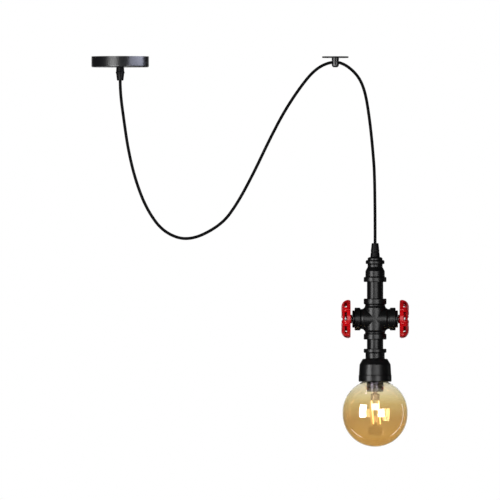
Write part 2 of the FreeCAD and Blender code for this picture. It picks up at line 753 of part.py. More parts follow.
# Pendant.
def pendant_grip():
    stub_end = BUSH_Z - BUSH_HEIGHT - STUB_PAST_BUSH
    stub_r = THREAD_D / 2 - FIT
    bore_r = CORD_D / 2 + FIT
    base = PENDANT_GRIP_BODY_Z
    body = turned([
        (COLLET_D / 2, base + COLLET_LENGTH),
        (COLLET_D / 2, base),
        (PENDANT_GRIP_SHOULDER_D / 2, base, FINE_BEVEL),
        (PENDANT_GRIP_BODY_D / 2, BUSH_Z, FINE_BEVEL),
        (stub_r, BUSH_Z),
        (stub_r, stub_end),
        (bore_r, stub_end),
        (bore_r, base + COLLET_LENGTH),
    ])
    save("pendant_grip_body", hang(body))
    nut = grip_nut(
        PENDANT_GRIP_TIP_D,
        PENDANT_GRIP_CONE_D,
        PENDANT_GRIP_SHOULDER_D,
        GRIP_RIDGE_HEIGHT,
        base,
        PENDANT_TOP_Z,
    )
    save("pendant_grip_nut", hang(nut))


def top_bush():
    low = REDUCER_Z
    end = low - SMALL_THREAD_LENGTH
    bush = turned([
        (THREAD_D / 2, BUSH_Z),
        (BUSH_TOP_D / 2, BUSH_Z),
        (BUSH_D / 2, BUSH_Z - BUSH_SLOPE_HEIGHT, BUSH_ROUND),
        (BUSH_D / 2, low),
        (SMALL_THREAD_D / 2, low),
        (SMALL_THREAD_D / 2, end, FINE_BEVEL),
        (THREAD_D / 2, end),
    ])
    save("top_bush", hang(bush))


def top_reducer():
    bead_end = REDUCER_Z - REDUCER_BEAD_HEIGHT
    neck_end = bead_end - REDUCER_NECK_HEIGHT
    flare_end = neck_end - REDUCER_FLARE_HEIGHT
    body_end = flare_end - REDUCER_BODY_HEIGHT
    small_r = SMALL_THREAD_D / 2 + FIT
    large_r = PIPE_THREAD_D / 2 + FIT
    small_end = REDUCER_Z - SMALL_THREAD_LENGTH - LOOSE
    edge = FITTING_EDGE_R
    reducer = turned([
        (small_r, REDUCER_Z),
        (REDUCER_BEAD_D / 2, REDUCER_Z, 2 * edge),
        (REDUCER_BEAD_D / 2, bead_end, edge),
        (REDUCER_NECK_D / 2, bead_end, edge),
        (REDUCER_NECK_D / 2, neck_end, edge),
        (REDUCER_BODY_D / 2, flare_end, 2 * edge),
        (REDUCER_BODY_D / 2, body_end, edge),
        (BEAD_D / 2, body_end, edge),
        (BEAD_D / 2, UPPER_NIPPLE_Z, edge),
        (large_r, UPPER_NIPPLE_Z),
        (large_r, flare_end),
        (small_r, small_end),
    ])
    save("top_reducer", hang(reducer))


def nipple(name, top, shown):
    """A short pipe whose threaded ends sit in the fittings above and below."""
    thread_r = PIPE_THREAD_D / 2
    bore_r = PIPE_D / 2 - PIPE_WALL
    bottom = top - shown
    pipe = turned([
        (bore_r, top + PIPE_THREAD_LENGTH),
        (thread_r, top + PIPE_THREAD_LENGTH, FINE_BEVEL),
        (thread_r, top),
        (PIPE_D / 2, top),
        (PIPE_D / 2, bottom),
        (thread_r, bottom),
        (thread_r, bottom - PIPE_THREAD_LENGTH, FINE_BEVEL),
        (bore_r, bottom - PIPE_THREAD_LENGTH),
    ])
    save(name, hang(pipe))


def cross_arm():
    """One arm of the cross along +Z, cut off on the two planes where it meets its neighbours."""
    arm_r = CROSS_ARM_D / 2
    band_r = CROSS_BAND_D / 2
    corner = CROSS_CORNER_R
    meet = arm_r + corner * (1 - math.sqrt(0.5))
    band_start = CROSS_HALF - CROSS_BAND_WIDTH
    edge = FITTING_EDGE_R
    head = [
        (arm_r, band_start - CROSS_BAND_SLOPE, edge),
        (band_r, band_start, edge),
        (band_r, CROSS_HALF, edge),
        (0.0, CROSS_HALF),
        (0.0, 0.0),
        (meet, 0.0),
        (meet, meet),
    ]
    edges = rounded_edges([(arm_r, arm_r + corner)] + head, closed=False)
    half_way = math.radians(45 / 2)
    flare_middle = V(arm_r + corner * (1 - math.cos(half_way)), 0, arm_r + corner * (1 - math.sin(half_way)))
    flare = Part.Arc(V(meet, 0, meet), flare_middle, V(arm_r, 0, arm_r + corner))
    face = Part.Face(Part.Wire(edges + [flare.toShape()]))
    arm = face.revolve(ORIGIN, UP, 360)
    reach = 2 * CROSS_HALF
    tip = V(0, -reach, 0)
    wedge = Part.makePolygon([tip, V(-reach, -reach, reach), V(reach, -reach, reach), tip])
    return arm.common(Part.Face(wedge).extrude(V(0, 2 * reach, 0)))


def pipe_cross():
    arm = cross_arm()
    body = arm
    for quarter in (1, 2, 3):
        other = arm.copy()
        other.rotate(ORIGIN, AWAY, 90 * quarter)
        body = body.fuse(other)
    socket_end = CROSS_HALF - PIPE_THREAD_LENGTH - LOOSE
    for axis in (RIGHT, UP):
        reach = axis * CROSS_HALF
        body = body.cut(bar(CROSS_PASSAGE_D, reach * -1, reach))
        for side in (-1, 1):
            body = body.cut(bar(PIPE_THREAD_D + 2 * FIT, reach * side, axis * (side * socket_end)))
    body = body.removeSplitter()
    body.translate(V(PENDANT_X, 0, CROSS_Z))
    save("pipe_cross", body)


# Handwheels and what carries them. Each is built along +Z and then turned to its side.
PLUG_FACE = CROSS_HALF + PLUG_HEAD
HUB_START = PLUG_FACE + HUB_GAP
HUB_END = WHEEL_OUT + WHEEL_HUB_DEPTH
WASHER_START = HUB_END + HUB_GAP
HEAD_START = WASHER_START + WASHER_SHEET


def side_plug(name, side):
    thread_r = PIPE_THREAD_D / 2
    thread_end = CROSS_HALF - PIPE_THREAD_LENGTH
    bore_r = SPINDLE_D / 2
    plug = turned([
        (bore_r, thread_end),
        (thread_r, thread_end, FINE_BEVEL),
        (thread_r, CROSS_HALF),
        (PLUG_D / 2, CROSS_HALF, FINE_BEVEL),
        (PLUG_D / 2, PLUG_FACE, BEVEL),
        (bore_r, PLUG_FACE),
    ])
    save(name, face_out(plug, side))


def spindle(name, side):
    """A hexagon bolt through the wheel's hub into the plug, with a washer under its head."""
    shank = cylinder(SPINDLE_D - 2 * FIT, PLUG_FACE - SPINDLE_INSIDE, HEAD_START)
    head = hexagon(SPINDLE_FLATS, HEAD_START, HEAD_START + SPINDLE_HEAD)
    corner_r = SPINDLE_FLATS / math.sqrt(3) + FIT
    end = HEAD_START + SPINDLE_HEAD
    crown = turned([
        (0.0, HEAD_START),
        (corner_r, HEAD_START),
        (corner_r, end - SPINDLE_CROWN),
        (SPINDLE_FLATS / 2 - FIT, end),
        (0.0, end),
    ])
    save(name, face_out(shank.fuse(head.common(crown)), side))


def washer(name, side):
    ring = cylinder(WASHER_D, WASHER_START, HEAD_START).cut(cylinder(SPINDLE_D, WASHER_START, HEAD_START))
    save(name, face_out(ring, side))


def wheel_shell():
    """The wheel's turned form: rim, round shoulder, outer face, dished web and hub."""
    rim_r = WHEEL_D / 2
    wall = WHEEL_WALL
    back = WHEEL_OUT
    front = WHEEL_OUT + WHEEL_DEPTH
    eye_r = WHEEL_EYE_D / 2
    hub_r = WHEEL_HUB_D / 2
    seat_r = WASHER_D / 2 + LOOSE
    shoulder = WHEEL_SHOULDER_R
    return turned([
        (SPINDLE_D / 2, HUB_START),
        (hub_r, HUB_START),
        (hub_r, HUB_END - WHEEL_WEB, WHEEL_HUB_BEVEL),
        (eye_r, front - wall, WHEEL_DISH_ROUND),
        (rim_r - wall, front - wall, shoulder - wall),
        (rim_r - wall, back, WHEEL_RIM_BEVEL),
        (rim_r, back, WHEEL_RIM_BEVEL),
        (rim_r, front, shoulder),
        (eye_r, front, WHEEL_EYE_ROUND),
        (seat_r, HUB_END),
        (SPINDLE_D / 2, HUB_END),
    ])


def sector(inner_r, outer_r, low, high, middle, width):
    """A cutter that takes an angle of a ring between two heights, with its corners rounded."""
    edges = rounded_edges([(inner_r, low), (outer_r, low), (outer_r, high), (inner_r, high)])
    face = Part.Face(Part.Wire(edges))
    face.rotate(ORIGIN, UP, middle - width / 2)
    return face.revolve(ORIGIN, UP, width)


def wheel_windows():
    """One opening in the shoulder and one in the web between each two ridges."""
    cutters = []
    start = WHEEL_OUT + WHEEL_WINDOW_START
    front = WHEEL_OUT + WHEEL_DEPTH
    step = 360 / WHEEL_WINDOWS
    outer_r = WHEEL_D / 2 + PAST
    ring_r = WHEEL_D / 2 - WHEEL_SHOULDER_R
    web_inner_r = WHEEL_HUB_D / 2 + WHEEL_EYE_WINDOW_MARGIN
    web_outer_r = WHEEL_EYE_D / 2 - WHEEL_EYE_WINDOW_MARGIN
    web_back = HUB_END - WHEEL_WEB - PAST
    for i in range(WHEEL_WINDOWS):
        middle = WHEEL_WINDOW_PHASE + step * i
        cutters.append(sector(ring_r, outer_r, start, front - WHEEL_WALL, middle, WHEEL_WINDOW_ANGLE))
        cutters.append(sector(web_inner_r, web_outer_r, web_back, front, middle, WHEEL_EYE_WINDOW_ANGLE))
    return cutters


def wheel_ridges():
    """A round rib over the shoulder and the outer face at each post."""
    ring_r = WHEEL_D / 2 - WHEEL_SHOULDER_R
    centre_height = WHEEL_OUT + WHEEL_DEPTH - WHEEL_SHOULDER_R
    sweep_r = WHEEL_SHOULDER_R + WHEEL_RIDGE_PROUD - WHEEL_RIDGE_D / 2
    step = 360 / WHEEL_WINDOWS
    ridges = []
    start = V(ring_r + sweep_r, 0, centre_height)
    disc = Part.Face(Part.Wire(Part.makeCircle(WHEEL_RIDGE_D / 2, start, UP)))
    elbow = disc.revolve(V(ring_r, 0, centre_height), V(0, -1, 0), 90)
    top = centre_height + sweep_r
    spoke_end = WHEEL_EYE_D / 2 + WHEEL_RIDGE_D / 2
    spoke = bar(WHEEL_RIDGE_D, V(ring_r, 0, top), V(spoke_end, 0, top))
    tip = Part.makeSphere(WHEEL_RIDGE_D / 2, V(spoke_end, 0, top))
    foot = Part.makeSphere(WHEEL_RIDGE_D / 2, start)
    ridge = elbow.fuse([spoke, tip, foot])
    for i in range(WHEEL_WINDOWS):
        one = ridge.copy()
        one.rotate(ORIGIN, UP, WHEEL_WINDOW_PHASE + step * (i + 0.5))
        ridges.append(one)
    return ridges


def handwheel():
    wheel = wheel_shell().cut(wheel_windows())
    wheel = wheel.fuse(wheel_ridges())
    return wheel.removeSplitter()


def wheel_set():
    wheel = handwheel()
    for name, side in (("left", -1), ("right", 1)):
        side_plug(name + "_plug", side)
        spindle(name + "_spindle", side)
        washer(name + "_washer", side)
        turned_wheel = wheel.copy()
        if side < 0:
            turned_wheel = turned_wheel.mirror(ORIGIN, RIGHT)
        save(name + "_handwheel", face_out(turned_wheel, side))


# Bell and lampholder.
def lamp_bell():
    bead_end = BELL_Z - BELL_BEAD_HEIGHT
    neck_end = bead_end - BELL_NECK_HEIGHT
    shoulder_end = neck_end - BELL_SHOULDER_HEIGHT
    body_end = shoulder_end - BELL_BODY_HEIGHT
    socket_r = PIPE_THREAD_D / 2 + FIT
    edge = FITTING_EDGE_R
    bell = turned([
        (socket_r, BELL_Z),
        (BEAD_D / 2, BELL_Z, edge),
        (BEAD_D / 2, bead_end, edge),
        (BELL_NECK_D / 2, bead_end, edge),
        (BELL_NECK_D / 2, neck_end, edge),
        (BELL_LEDGE_D / 2, neck_end, 2 * edge),
        (BELL_SHOULDER_D / 2, shoulder_end, 3 * edge),
        (BELL_BODY_D / 2, body_end),
        (BELL_RIM_D / 2 - BELL_RIM_GROOVE, body_end),
        (BELL_RIM_D / 2, body_end - BELL_RIM_GROOVE, BELL_RIM_GROOVE),
        (BELL_RIM_D / 2, BELL_BOTTOM_Z, edge),
        (BELL_MOUTH_D / 2, BELL_BOTTOM_Z),
        (BELL_BORE_D / 2, BELL_BOTTOM_Z + BELL_MOUTH_DEPTH),
        (BELL_BORE_D / 2, CHAMBER_TOP_Z, edge),
        (BELL_NECK_BORE_D / 2, CHAMBER_TOP_Z),
        (BELL_NECK_BORE_D / 2, DISC_BOTTOM_Z),
        (socket_r, DISC_BOTTOM_Z),
    ])
    save("lamp_bell", hang(bell))


def lampholder():
    """Hanging disc, hollow stem and nut, moulded housing, screw shell and sprung contact."""
    stem_r = THREAD_D / 2 - FIT
    disc = cylinder(PIPE_THREAD_D, DISC_BOTTOM_Z, DISC_TOP_Z).cut(
        cylinder(THREAD_D, DISC_BOTTOM_Z, DISC_TOP_Z)
    )
    save("holder_disc", hang(disc))
    nut_top = DISC_TOP_Z + LOCK_NUT_HEIGHT
    nut = hexagon(LOCK_NUT_FLATS, DISC_TOP_Z, nut_top).cut(cylinder(THREAD_D, DISC_TOP_Z, nut_top))
    save("stem_nut", hang(nut))
    stem_top = nut_top + STEM_PAST_NUT
    stem_end = HOUSING_TOP_Z - HOUSING_STEM_DEPTH
    stem = cylinder(2 * stem_r, stem_end, stem_top).cut(cylinder(STEM_BORE_D, stem_end, stem_top))
    save("hollow_stem", hang(stem))
    body_r = BELL_BORE_D / 2 - LOOSE
    housing = turned([
        (0.0, HOUSING_TOP_Z),
        (HOUSING_DOME_D / 2, HOUSING_TOP_Z, BEVEL),
        (HOUSING_DOME_D / 2, CHAMBER_TOP_Z),
        (body_r, CHAMBER_TOP_Z, 2 * FITTING_EDGE_R),
        (body_r, HOUSING_BOTTOM_Z, BEVEL),
        (HOUSING_BORE_D / 2, HOUSING_BOTTOM_Z, BEVEL),
        (HOUSING_BORE_D / 2, CONTACT_ROOM_BOTTOM_Z),
        (CONTACT_ROOM_D / 2, CONTACT_ROOM_BOTTOM_Z),
        (CONTACT_ROOM_D / 2, CONTACT_ROOM_TOP_Z),
        (0.0, CONTACT_ROOM_TOP_Z),
    ])
    housing = housing.cut(cylinder(THREAD_D, stem_end, HOUSING_TOP_Z))
    for side in (-1, 1):
        x = side * CORE_APART / 2
        housing = housing.cut(cylinder(CORE_D + 2 * FIT, CONTACT_ROOM_TOP_Z, HOUSING_TOP_Z, x))
    save("lampholder_housing", hang(housing))
    outer_r = HOUSING_BORE_D / 2 - TOUCH
    shell_top = CONTACT_ROOM_BOTTOM_Z
    shell = turned([
        (outer_r, shell_top),
        (outer_r, shell_top - SHELL_LENGTH),
        (outer_r - SHELL_SHEET, shell_top - SHELL_LENGTH),
        (outer_r - SHELL_SHEET, shell_top - SHELL_SHEET),
        (CONTACT_ROOM_D / 2 + SHELL_LIP, shell_top - SHELL_SHEET),
        (CONTACT_ROOM_D / 2 + SHELL_LIP, shell_top),
    ])
    save("screw_shell", hang(shell))
    strip = Part.makeBox(
        TONGUE_LENGTH,
        TONGUE_WIDTH,
        TONGUE_SHEET,
        V(-TONGUE_LENGTH / 2, -TONGUE_WIDTH / 2, CONTACT_ROOM_TOP_Z - TONGUE_SHEET),
    )
    dome = Part.makeCone(
        TONGUE_DOME_D / 4, TONGUE_DOME_D / 2, TONGUE_DOME, V(0, 0, TONGUE_BOTTOM_Z), UP
    )
    save("contact_tongue", hang(strip.fuse(dome)))


def pendant_wiring():
    """The sheathed cord inside the pendant, and its two cores down the stem to the lampholder."""
    sheath_end = CROSS_Z - CROSS_HALF
    save("inner_cord", hang(cylinder(CORD_D, sheath_end, PENDANT_TOP_Z)))
    cores = []
    for side in (-1, 1):
        cores.append(hang(cylinder(CORE_D, CONTACT_ROOM_TOP_Z, sheath_end, side * CORE_APART / 2)))
    save("pendant_cores", cores)


# Bulb.
def globe_outline(inset):
    """Arcs of the glass from the neck's top to the bottom pole, set in by a wall thickness."""
    ball_r = GLOBE_D / 2 - inset
    neck_r = NECK_D / 2 - inset
    flare_r = NECK_FLARE_R + inset
    share = ball_r / (ball_r + flare_r)
    touch = V(FLARE_OUT * share, 0, GLOBE_HIGH_Z + (FLARE_Z - GLOBE_HIGH_Z) * share)
    centre = V(FLARE_OUT, 0, FLARE_Z)
    flare_start = V(neck_r, 0, FLARE_Z)
    flare_middle = centre + ((touch - centre) + (flare_start - centre)).normalize() * flare_r
    top = V(neck_r, 0, CAP_BOTTOM_Z + NECK_IN_CAP)
    ball_high = V(0, 0, GLOBE_HIGH_Z)
    high_middle = ball_high + ((touch - ball_high) + V(ball_r, 0, 0)).normalize() * ball_r
    waist_high = V(ball_r, 0, GLOBE_HIGH_Z)
    waist_low = V(ball_r, 0, GLOBE_LOW_Z)
    low_middle = V(ball_r * math.sqrt(0.5), 0, GLOBE_LOW_Z - ball_r * math.sqrt(0.5))
    pole = V(0, 0, GLOBE_LOW_Z - ball_r)
    edges = [
        Part.LineSegment(top, flare_start),
        Part.Arc(flare_start, flare_middle, touch),
        Part.Arc(touch, high_middle, waist_high),
        Part.LineSegment(waist_high, waist_low),
        Part.Arc(waist_low, low_middle, pole),
    ]
    return top, [edge.toShape() for edge in edges], pole


def bulb_glass():
    outer_top, outer, outer_pole = globe_outline(0.0)
    inner_top, inner, inner_pole = globe_outline(GLASS_SHEET)
    joins = [
        Part.LineSegment(outer_top, inner_top).toShape(),
        Part.LineSegment(outer_pole, inner_pole).toShape(),
    ]
    outline = Part.Wire(Part.__sortEdges__(outer + inner + joins))
    save("bulb_glass", hang(Part.Face(outline).revolve(ORIGIN, UP, 360)))


def bulb_cap():
    cap_r = CAP_D / 2
    sheet = CAP_SHEET
    shoulder_z = CAP_TOP_Z - CAP_SHOULDER
    shoulder_r = CAP_SHOULDER_D / 2
    cap = turned([
        (cap_r, CAP_BOTTOM_Z),
        (cap_r, shoulder_z, BEVEL),
        (shoulder_r, CAP_TOP_Z, BEVEL),
        (INSULATOR_PLUG_D / 2, CAP_TOP_Z),
        (INSULATOR_PLUG_D / 2, CAP_TOP_Z - sheet),
        (shoulder_r - sheet, CAP_TOP_Z - sheet, FINE_BEVEL),
        (cap_r - sheet, shoulder_z - sheet, FINE_BEVEL),
        (cap_r - sheet, CAP_BOTTOM_Z),
    ])
    save("bulb_cap", hang(cap))
    plug_r = INSULATOR_PLUG_D / 2 - FIT
    plug_z = CAP_TOP_Z - INSULATOR_PLUG_DEPTH
    insulator = turned([
        (0.0, plug_z),
        (plug_r, plug_z),
        (plug_r, CAP_TOP_Z),
        (INSULATOR_FOOT_D / 2, CAP_TOP_Z),
        (INSULATOR_TOP_D / 2, INSULATOR_TOP_Z, FINE_BEVEL),
        (0.0, INSULATOR_TOP_Z),
    ])
    save("bulb_insulator", hang(insulator))
    contact = turned([
        (0.0, INSULATOR_TOP_Z),
        (BULB_CONTACT_D / 2, INSULATOR_TOP_Z),
        (BULB_CONTACT_D / 2, BULB_TOP_Z, BEVEL),
        (0.0, BULB_TOP_Z),
    ])
    save("bulb_contact", hang(contact))


def bulb_inside():
    """Dark collar in the neck, the stem under it, and the lit rods on their leads."""
    neck_r = NECK_D / 2 - GLASS_SHEET - LOOSE
    neck_end = COLLAR_TOP_Z - COLLAR_NECK_LENGTH
    collar = turned([
        (0.0, COLLAR_TOP_Z),
        (neck_r, COLLAR_TOP_Z, FINE_BEVEL),
        (neck_r, neck_end, COLLAR_EDGE_R),
        (COLLAR_D / 2, neck_end - COLLAR_CONE_LENGTH, COLLAR_CONE_ROUND),
        (COLLAR_D / 2, COLLAR_BOTTOM_Z, COLLAR_EDGE_R),
        (0.0, COLLAR_BOTTOM_Z),
    ])
    save("bulb_collar", hang(collar))
    head_end = STEM_HEAD_Z - STEM_HEAD_HEIGHT
    stem = turned([
        (0.0, COLLAR_BOTTOM_Z),
        (STEM_NECK_D / 2, COLLAR_BOTTOM_Z),
        (STEM_NECK_D / 2, STEM_HEAD_Z, STEM_NECK_ROUND),
        (STEM_HEAD_D / 2, STEM_HEAD_Z, STEM_HEAD_ROUND),
        (STEM_FOOT_D / 2, head_end, FINE_BEVEL),
        (0.0, head_end),
    ])
    save("bulb_stem", hang(stem))
    rods = []
    leads = []
    for x in (-FILAMENT_APART_X / 2, FILAMENT_APART_X / 2):
        for y in (-FILAMENT_APART_Y / 2, FILAMENT_APART_Y / 2):
            top = V(x, y, FILAMENT_TOP_Z)
            foot = top + V(FILAMENT_LEAN, 0, -FILAMENT_LENGTH)
            rods.append(hang(bar(FILAMENT_D, top, foot)))
            leads.append(hang(bar(LEAD_D, V(x, y, head_end), top + V(0, 0, FIT))))
    save("led_filaments", rods)
    save("filament_leads", leads)


def main():
    os.makedirs("parts", exist_ok=True)
    free_cord()
    rose_cover()
    rose_bracket()
    rose_side_screws()
    earth_screw()
    terminal_block()
    block_screws()
    terminal_metal()
    rose_grip()
    rose_wiring()
    ceiling_holder()
    pendant_grip()
    top_bush()
    top_reducer()
    nipple("upper_nipple", UPPER_NIPPLE_Z, UPPER_NIPPLE_SHOWN)
    pipe_cross()
    nipple("lower_nipple", LOWER_NIPPLE_Z, LOWER_NIPPLE_SHOWN)
    wheel_set()
    lamp_bell()
    lampholder()
    pendant_wiring()
    bulb_glass()
    bulb_cap()
    bulb_inside()


main()
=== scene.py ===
"""Looks of the ceiling lamp, dressed on its frame. Metres, with the ceiling at height 0."""

import json
import math

import bmesh
import bpy
from mathutils import Vector
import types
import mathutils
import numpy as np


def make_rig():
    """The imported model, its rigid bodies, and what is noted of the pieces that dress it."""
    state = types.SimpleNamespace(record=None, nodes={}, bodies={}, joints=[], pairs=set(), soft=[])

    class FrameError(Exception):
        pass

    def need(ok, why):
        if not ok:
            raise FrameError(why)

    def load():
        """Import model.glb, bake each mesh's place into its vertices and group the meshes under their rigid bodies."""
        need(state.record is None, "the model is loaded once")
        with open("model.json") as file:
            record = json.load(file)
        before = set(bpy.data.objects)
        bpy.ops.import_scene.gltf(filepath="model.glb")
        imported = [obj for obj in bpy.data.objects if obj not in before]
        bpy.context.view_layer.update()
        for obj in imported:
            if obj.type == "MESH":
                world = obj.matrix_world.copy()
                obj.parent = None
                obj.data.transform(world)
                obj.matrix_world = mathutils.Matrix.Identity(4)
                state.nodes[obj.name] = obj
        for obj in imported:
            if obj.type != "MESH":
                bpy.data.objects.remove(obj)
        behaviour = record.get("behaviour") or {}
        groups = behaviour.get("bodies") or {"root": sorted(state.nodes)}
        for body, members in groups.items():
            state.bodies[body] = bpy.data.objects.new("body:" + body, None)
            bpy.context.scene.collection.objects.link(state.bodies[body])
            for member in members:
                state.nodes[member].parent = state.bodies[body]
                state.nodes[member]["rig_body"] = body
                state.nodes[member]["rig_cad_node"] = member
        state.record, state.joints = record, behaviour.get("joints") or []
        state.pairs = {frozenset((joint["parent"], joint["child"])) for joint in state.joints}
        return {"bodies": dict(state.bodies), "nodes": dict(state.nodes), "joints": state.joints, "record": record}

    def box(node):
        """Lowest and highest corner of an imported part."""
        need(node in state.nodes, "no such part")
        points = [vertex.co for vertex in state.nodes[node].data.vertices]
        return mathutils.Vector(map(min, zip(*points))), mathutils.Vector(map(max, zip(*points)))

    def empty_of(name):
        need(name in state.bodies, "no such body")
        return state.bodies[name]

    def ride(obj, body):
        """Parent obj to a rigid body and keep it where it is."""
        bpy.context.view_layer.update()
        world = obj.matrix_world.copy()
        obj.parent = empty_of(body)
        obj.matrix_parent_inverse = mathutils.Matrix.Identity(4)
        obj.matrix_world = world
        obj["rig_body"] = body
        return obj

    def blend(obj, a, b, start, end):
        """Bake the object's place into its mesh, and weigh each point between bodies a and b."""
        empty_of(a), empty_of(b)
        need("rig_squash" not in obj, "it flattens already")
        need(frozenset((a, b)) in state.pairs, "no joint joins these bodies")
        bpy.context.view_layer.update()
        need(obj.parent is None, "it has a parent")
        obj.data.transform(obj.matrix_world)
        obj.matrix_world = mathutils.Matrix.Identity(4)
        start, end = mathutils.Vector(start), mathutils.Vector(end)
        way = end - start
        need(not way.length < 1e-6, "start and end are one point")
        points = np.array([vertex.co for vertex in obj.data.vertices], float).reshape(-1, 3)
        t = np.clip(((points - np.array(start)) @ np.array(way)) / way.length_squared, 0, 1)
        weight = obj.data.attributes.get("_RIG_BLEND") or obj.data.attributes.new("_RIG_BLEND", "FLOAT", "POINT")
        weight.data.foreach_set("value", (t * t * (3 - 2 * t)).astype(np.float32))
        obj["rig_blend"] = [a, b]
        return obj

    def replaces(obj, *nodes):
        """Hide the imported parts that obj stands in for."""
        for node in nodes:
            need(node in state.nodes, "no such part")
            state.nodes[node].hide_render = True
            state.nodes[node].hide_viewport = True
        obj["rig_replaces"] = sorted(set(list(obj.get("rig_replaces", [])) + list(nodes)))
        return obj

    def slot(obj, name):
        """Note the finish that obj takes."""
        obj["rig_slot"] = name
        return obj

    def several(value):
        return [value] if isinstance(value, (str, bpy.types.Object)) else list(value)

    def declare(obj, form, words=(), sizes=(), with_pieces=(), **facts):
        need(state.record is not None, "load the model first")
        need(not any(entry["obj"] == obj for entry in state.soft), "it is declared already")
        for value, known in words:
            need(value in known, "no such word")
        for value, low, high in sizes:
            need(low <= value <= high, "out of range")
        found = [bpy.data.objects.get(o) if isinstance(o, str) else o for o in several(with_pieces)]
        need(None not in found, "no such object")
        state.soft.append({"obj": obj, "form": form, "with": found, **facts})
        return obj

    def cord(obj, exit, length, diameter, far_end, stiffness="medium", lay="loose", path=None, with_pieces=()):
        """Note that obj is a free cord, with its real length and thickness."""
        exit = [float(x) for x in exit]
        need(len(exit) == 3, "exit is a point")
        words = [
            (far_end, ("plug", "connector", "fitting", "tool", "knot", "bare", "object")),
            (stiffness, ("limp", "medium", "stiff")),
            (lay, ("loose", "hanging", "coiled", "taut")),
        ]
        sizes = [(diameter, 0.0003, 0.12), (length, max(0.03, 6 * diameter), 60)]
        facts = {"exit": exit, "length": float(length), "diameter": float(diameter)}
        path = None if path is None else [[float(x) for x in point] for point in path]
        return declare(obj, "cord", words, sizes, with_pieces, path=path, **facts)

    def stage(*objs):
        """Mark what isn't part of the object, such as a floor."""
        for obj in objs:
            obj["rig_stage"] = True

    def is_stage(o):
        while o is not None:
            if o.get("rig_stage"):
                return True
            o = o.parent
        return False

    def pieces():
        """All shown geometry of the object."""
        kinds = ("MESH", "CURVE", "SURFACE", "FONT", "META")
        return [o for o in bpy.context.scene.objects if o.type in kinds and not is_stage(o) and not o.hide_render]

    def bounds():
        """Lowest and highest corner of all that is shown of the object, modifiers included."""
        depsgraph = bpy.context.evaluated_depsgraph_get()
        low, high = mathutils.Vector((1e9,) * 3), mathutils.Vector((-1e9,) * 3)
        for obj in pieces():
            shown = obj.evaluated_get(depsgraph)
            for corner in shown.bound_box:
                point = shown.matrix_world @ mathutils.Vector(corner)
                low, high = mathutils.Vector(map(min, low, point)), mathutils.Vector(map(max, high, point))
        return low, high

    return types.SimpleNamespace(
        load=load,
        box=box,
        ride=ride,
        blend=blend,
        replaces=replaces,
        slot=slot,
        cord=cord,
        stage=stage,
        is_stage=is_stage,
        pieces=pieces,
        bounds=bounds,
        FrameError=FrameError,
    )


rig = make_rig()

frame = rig.load()
nodes = frame["nodes"]
cad_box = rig.bounds()

# Photograph: a level camera far away. The frame's width is measured at the lamp.
SENSOR = 36.0
CAMERA_DISTANCE = 20.0
CAMERA_REACH = 100.0
FRAME_WIDTH = 0.825
AIM_X = 0.2142
AIM_Z = -0.3194
LEVEL = math.radians(90.0)

# Cord: the route's corners, from the rose to the pendant.
CORD_D = 0.005
PENDANT_X = 0.4206
ROUTE = [
    (0.0, 0.0, -0.0398),
    (0.0, 0.0, -0.0600),
    (0.0065, 0.0, -0.1080),
    (0.0130, 0.0, -0.1530),
    (0.0250, 0.0, -0.2040),
    (0.0440, 0.0, -0.2530),
    (0.0720, 0.0, -0.2910),
    (0.1140, 0.0, -0.3050),
    (0.1660, 0.0, -0.2790),
    (0.1920, 0.0, -0.2450),
    (0.2200, 0.0, -0.1930),
    (0.2450, 0.0, -0.1400),
    (0.2710, 0.0, -0.0900),
    (0.2990, 0.0, -0.0480),
    (0.3210, 0.0, -0.0220),
    (0.3440, 0.0, -0.0095),
    (0.3660, 0.0, -0.0095),
    (0.3910, 0.0, -0.0290),
    (0.4040, 0.0, -0.0560),
    (0.4115, 0.0, -0.1030),
    (0.4165, 0.0, -0.1500),
    (PENDANT_X, 0.0, -0.2050),
    (PENDANT_X, 0.0, -0.3080),
]
CORD_SIDES = 24
LINE_STEPS = 16
BRAID_STRANDS = 16
CAP_UV = (0.5, 0.0)

# Swing joints: where the cord is cut, and where each of its pieces passes from body to body.
SPLIT_Z = -0.248
SWING_BLEND_TOP = (PENDANT_X, 0.0, -0.222)
SWING_BLEND_WAY = (0.012, 0.0, -0.008)
FRONT_BLEND = 0.012

# Ceiling holder, nearer to the photograph than its solids: a thicker plate and a rounder post end.
PLATE_ADDED = 0.0009
PLATE_MIDDLE_Z = -0.0010
POST_EDGE_R = 0.0016
POST_ROUND = 0.0038
POST_ROUND_HEIGHT = 0.0046
SHAPE_SLACK = 0.03
MERGE_DISTANCE = 0.000001
SHARP_ANGLE = math.radians(35)

# Materials: the usual noise, the places of two tones on it, and the grain of plain ones.
NOISE_DETAIL = 4.0
NOISE_ROUGHNESS = 0.55
TONE_LOW = 0.3
TONE_HIGH = 0.7
GRAIN = 900.0
METAL_RELIEF = 0.00002
PLASTIC_RELIEF = 0.00003
PIPE_STRETCH = 0.08
# How far the red enamel's painted shade reaches into recesses.
SHADE_PAINT_REACH = 0.02
ROD_GLOW = 3.0
WHITE = (1.0, 1.0, 1.0)

# Glass, and the globe's lustre coat: how far a face is turned away where it starts to fade and is gone.
GLOBE_IOR = 1.52
LUSTRE_IOR = 1.85
LUSTRE_FULL = 0.5
LUSTRE_GONE = 0.75
STEM_IOR = 1.5
STEM_SHADE = 0.85

# Lights, as seen from the globe, and the two strips at the ceiling.
GLOBE = Vector((PENDANT_X, 0.0, -0.5884))
LIGHT_DISTANCE = 1.3
FRONT_DISTANCE = 0.7
ROSE_STRIP_AT = (0.17, -0.08, 0.0)
ROSE_STRIP_AIM = (0.0, 0.0, 0.0)
ROSE_STRIP_COLOUR = (0.76, 0.79, 1.0)
HOLDER_STRIP_AT = (0.448, -0.103, -0.006)
HOLDER_STRIP_AIM = (0.355, 0.0, -0.006)

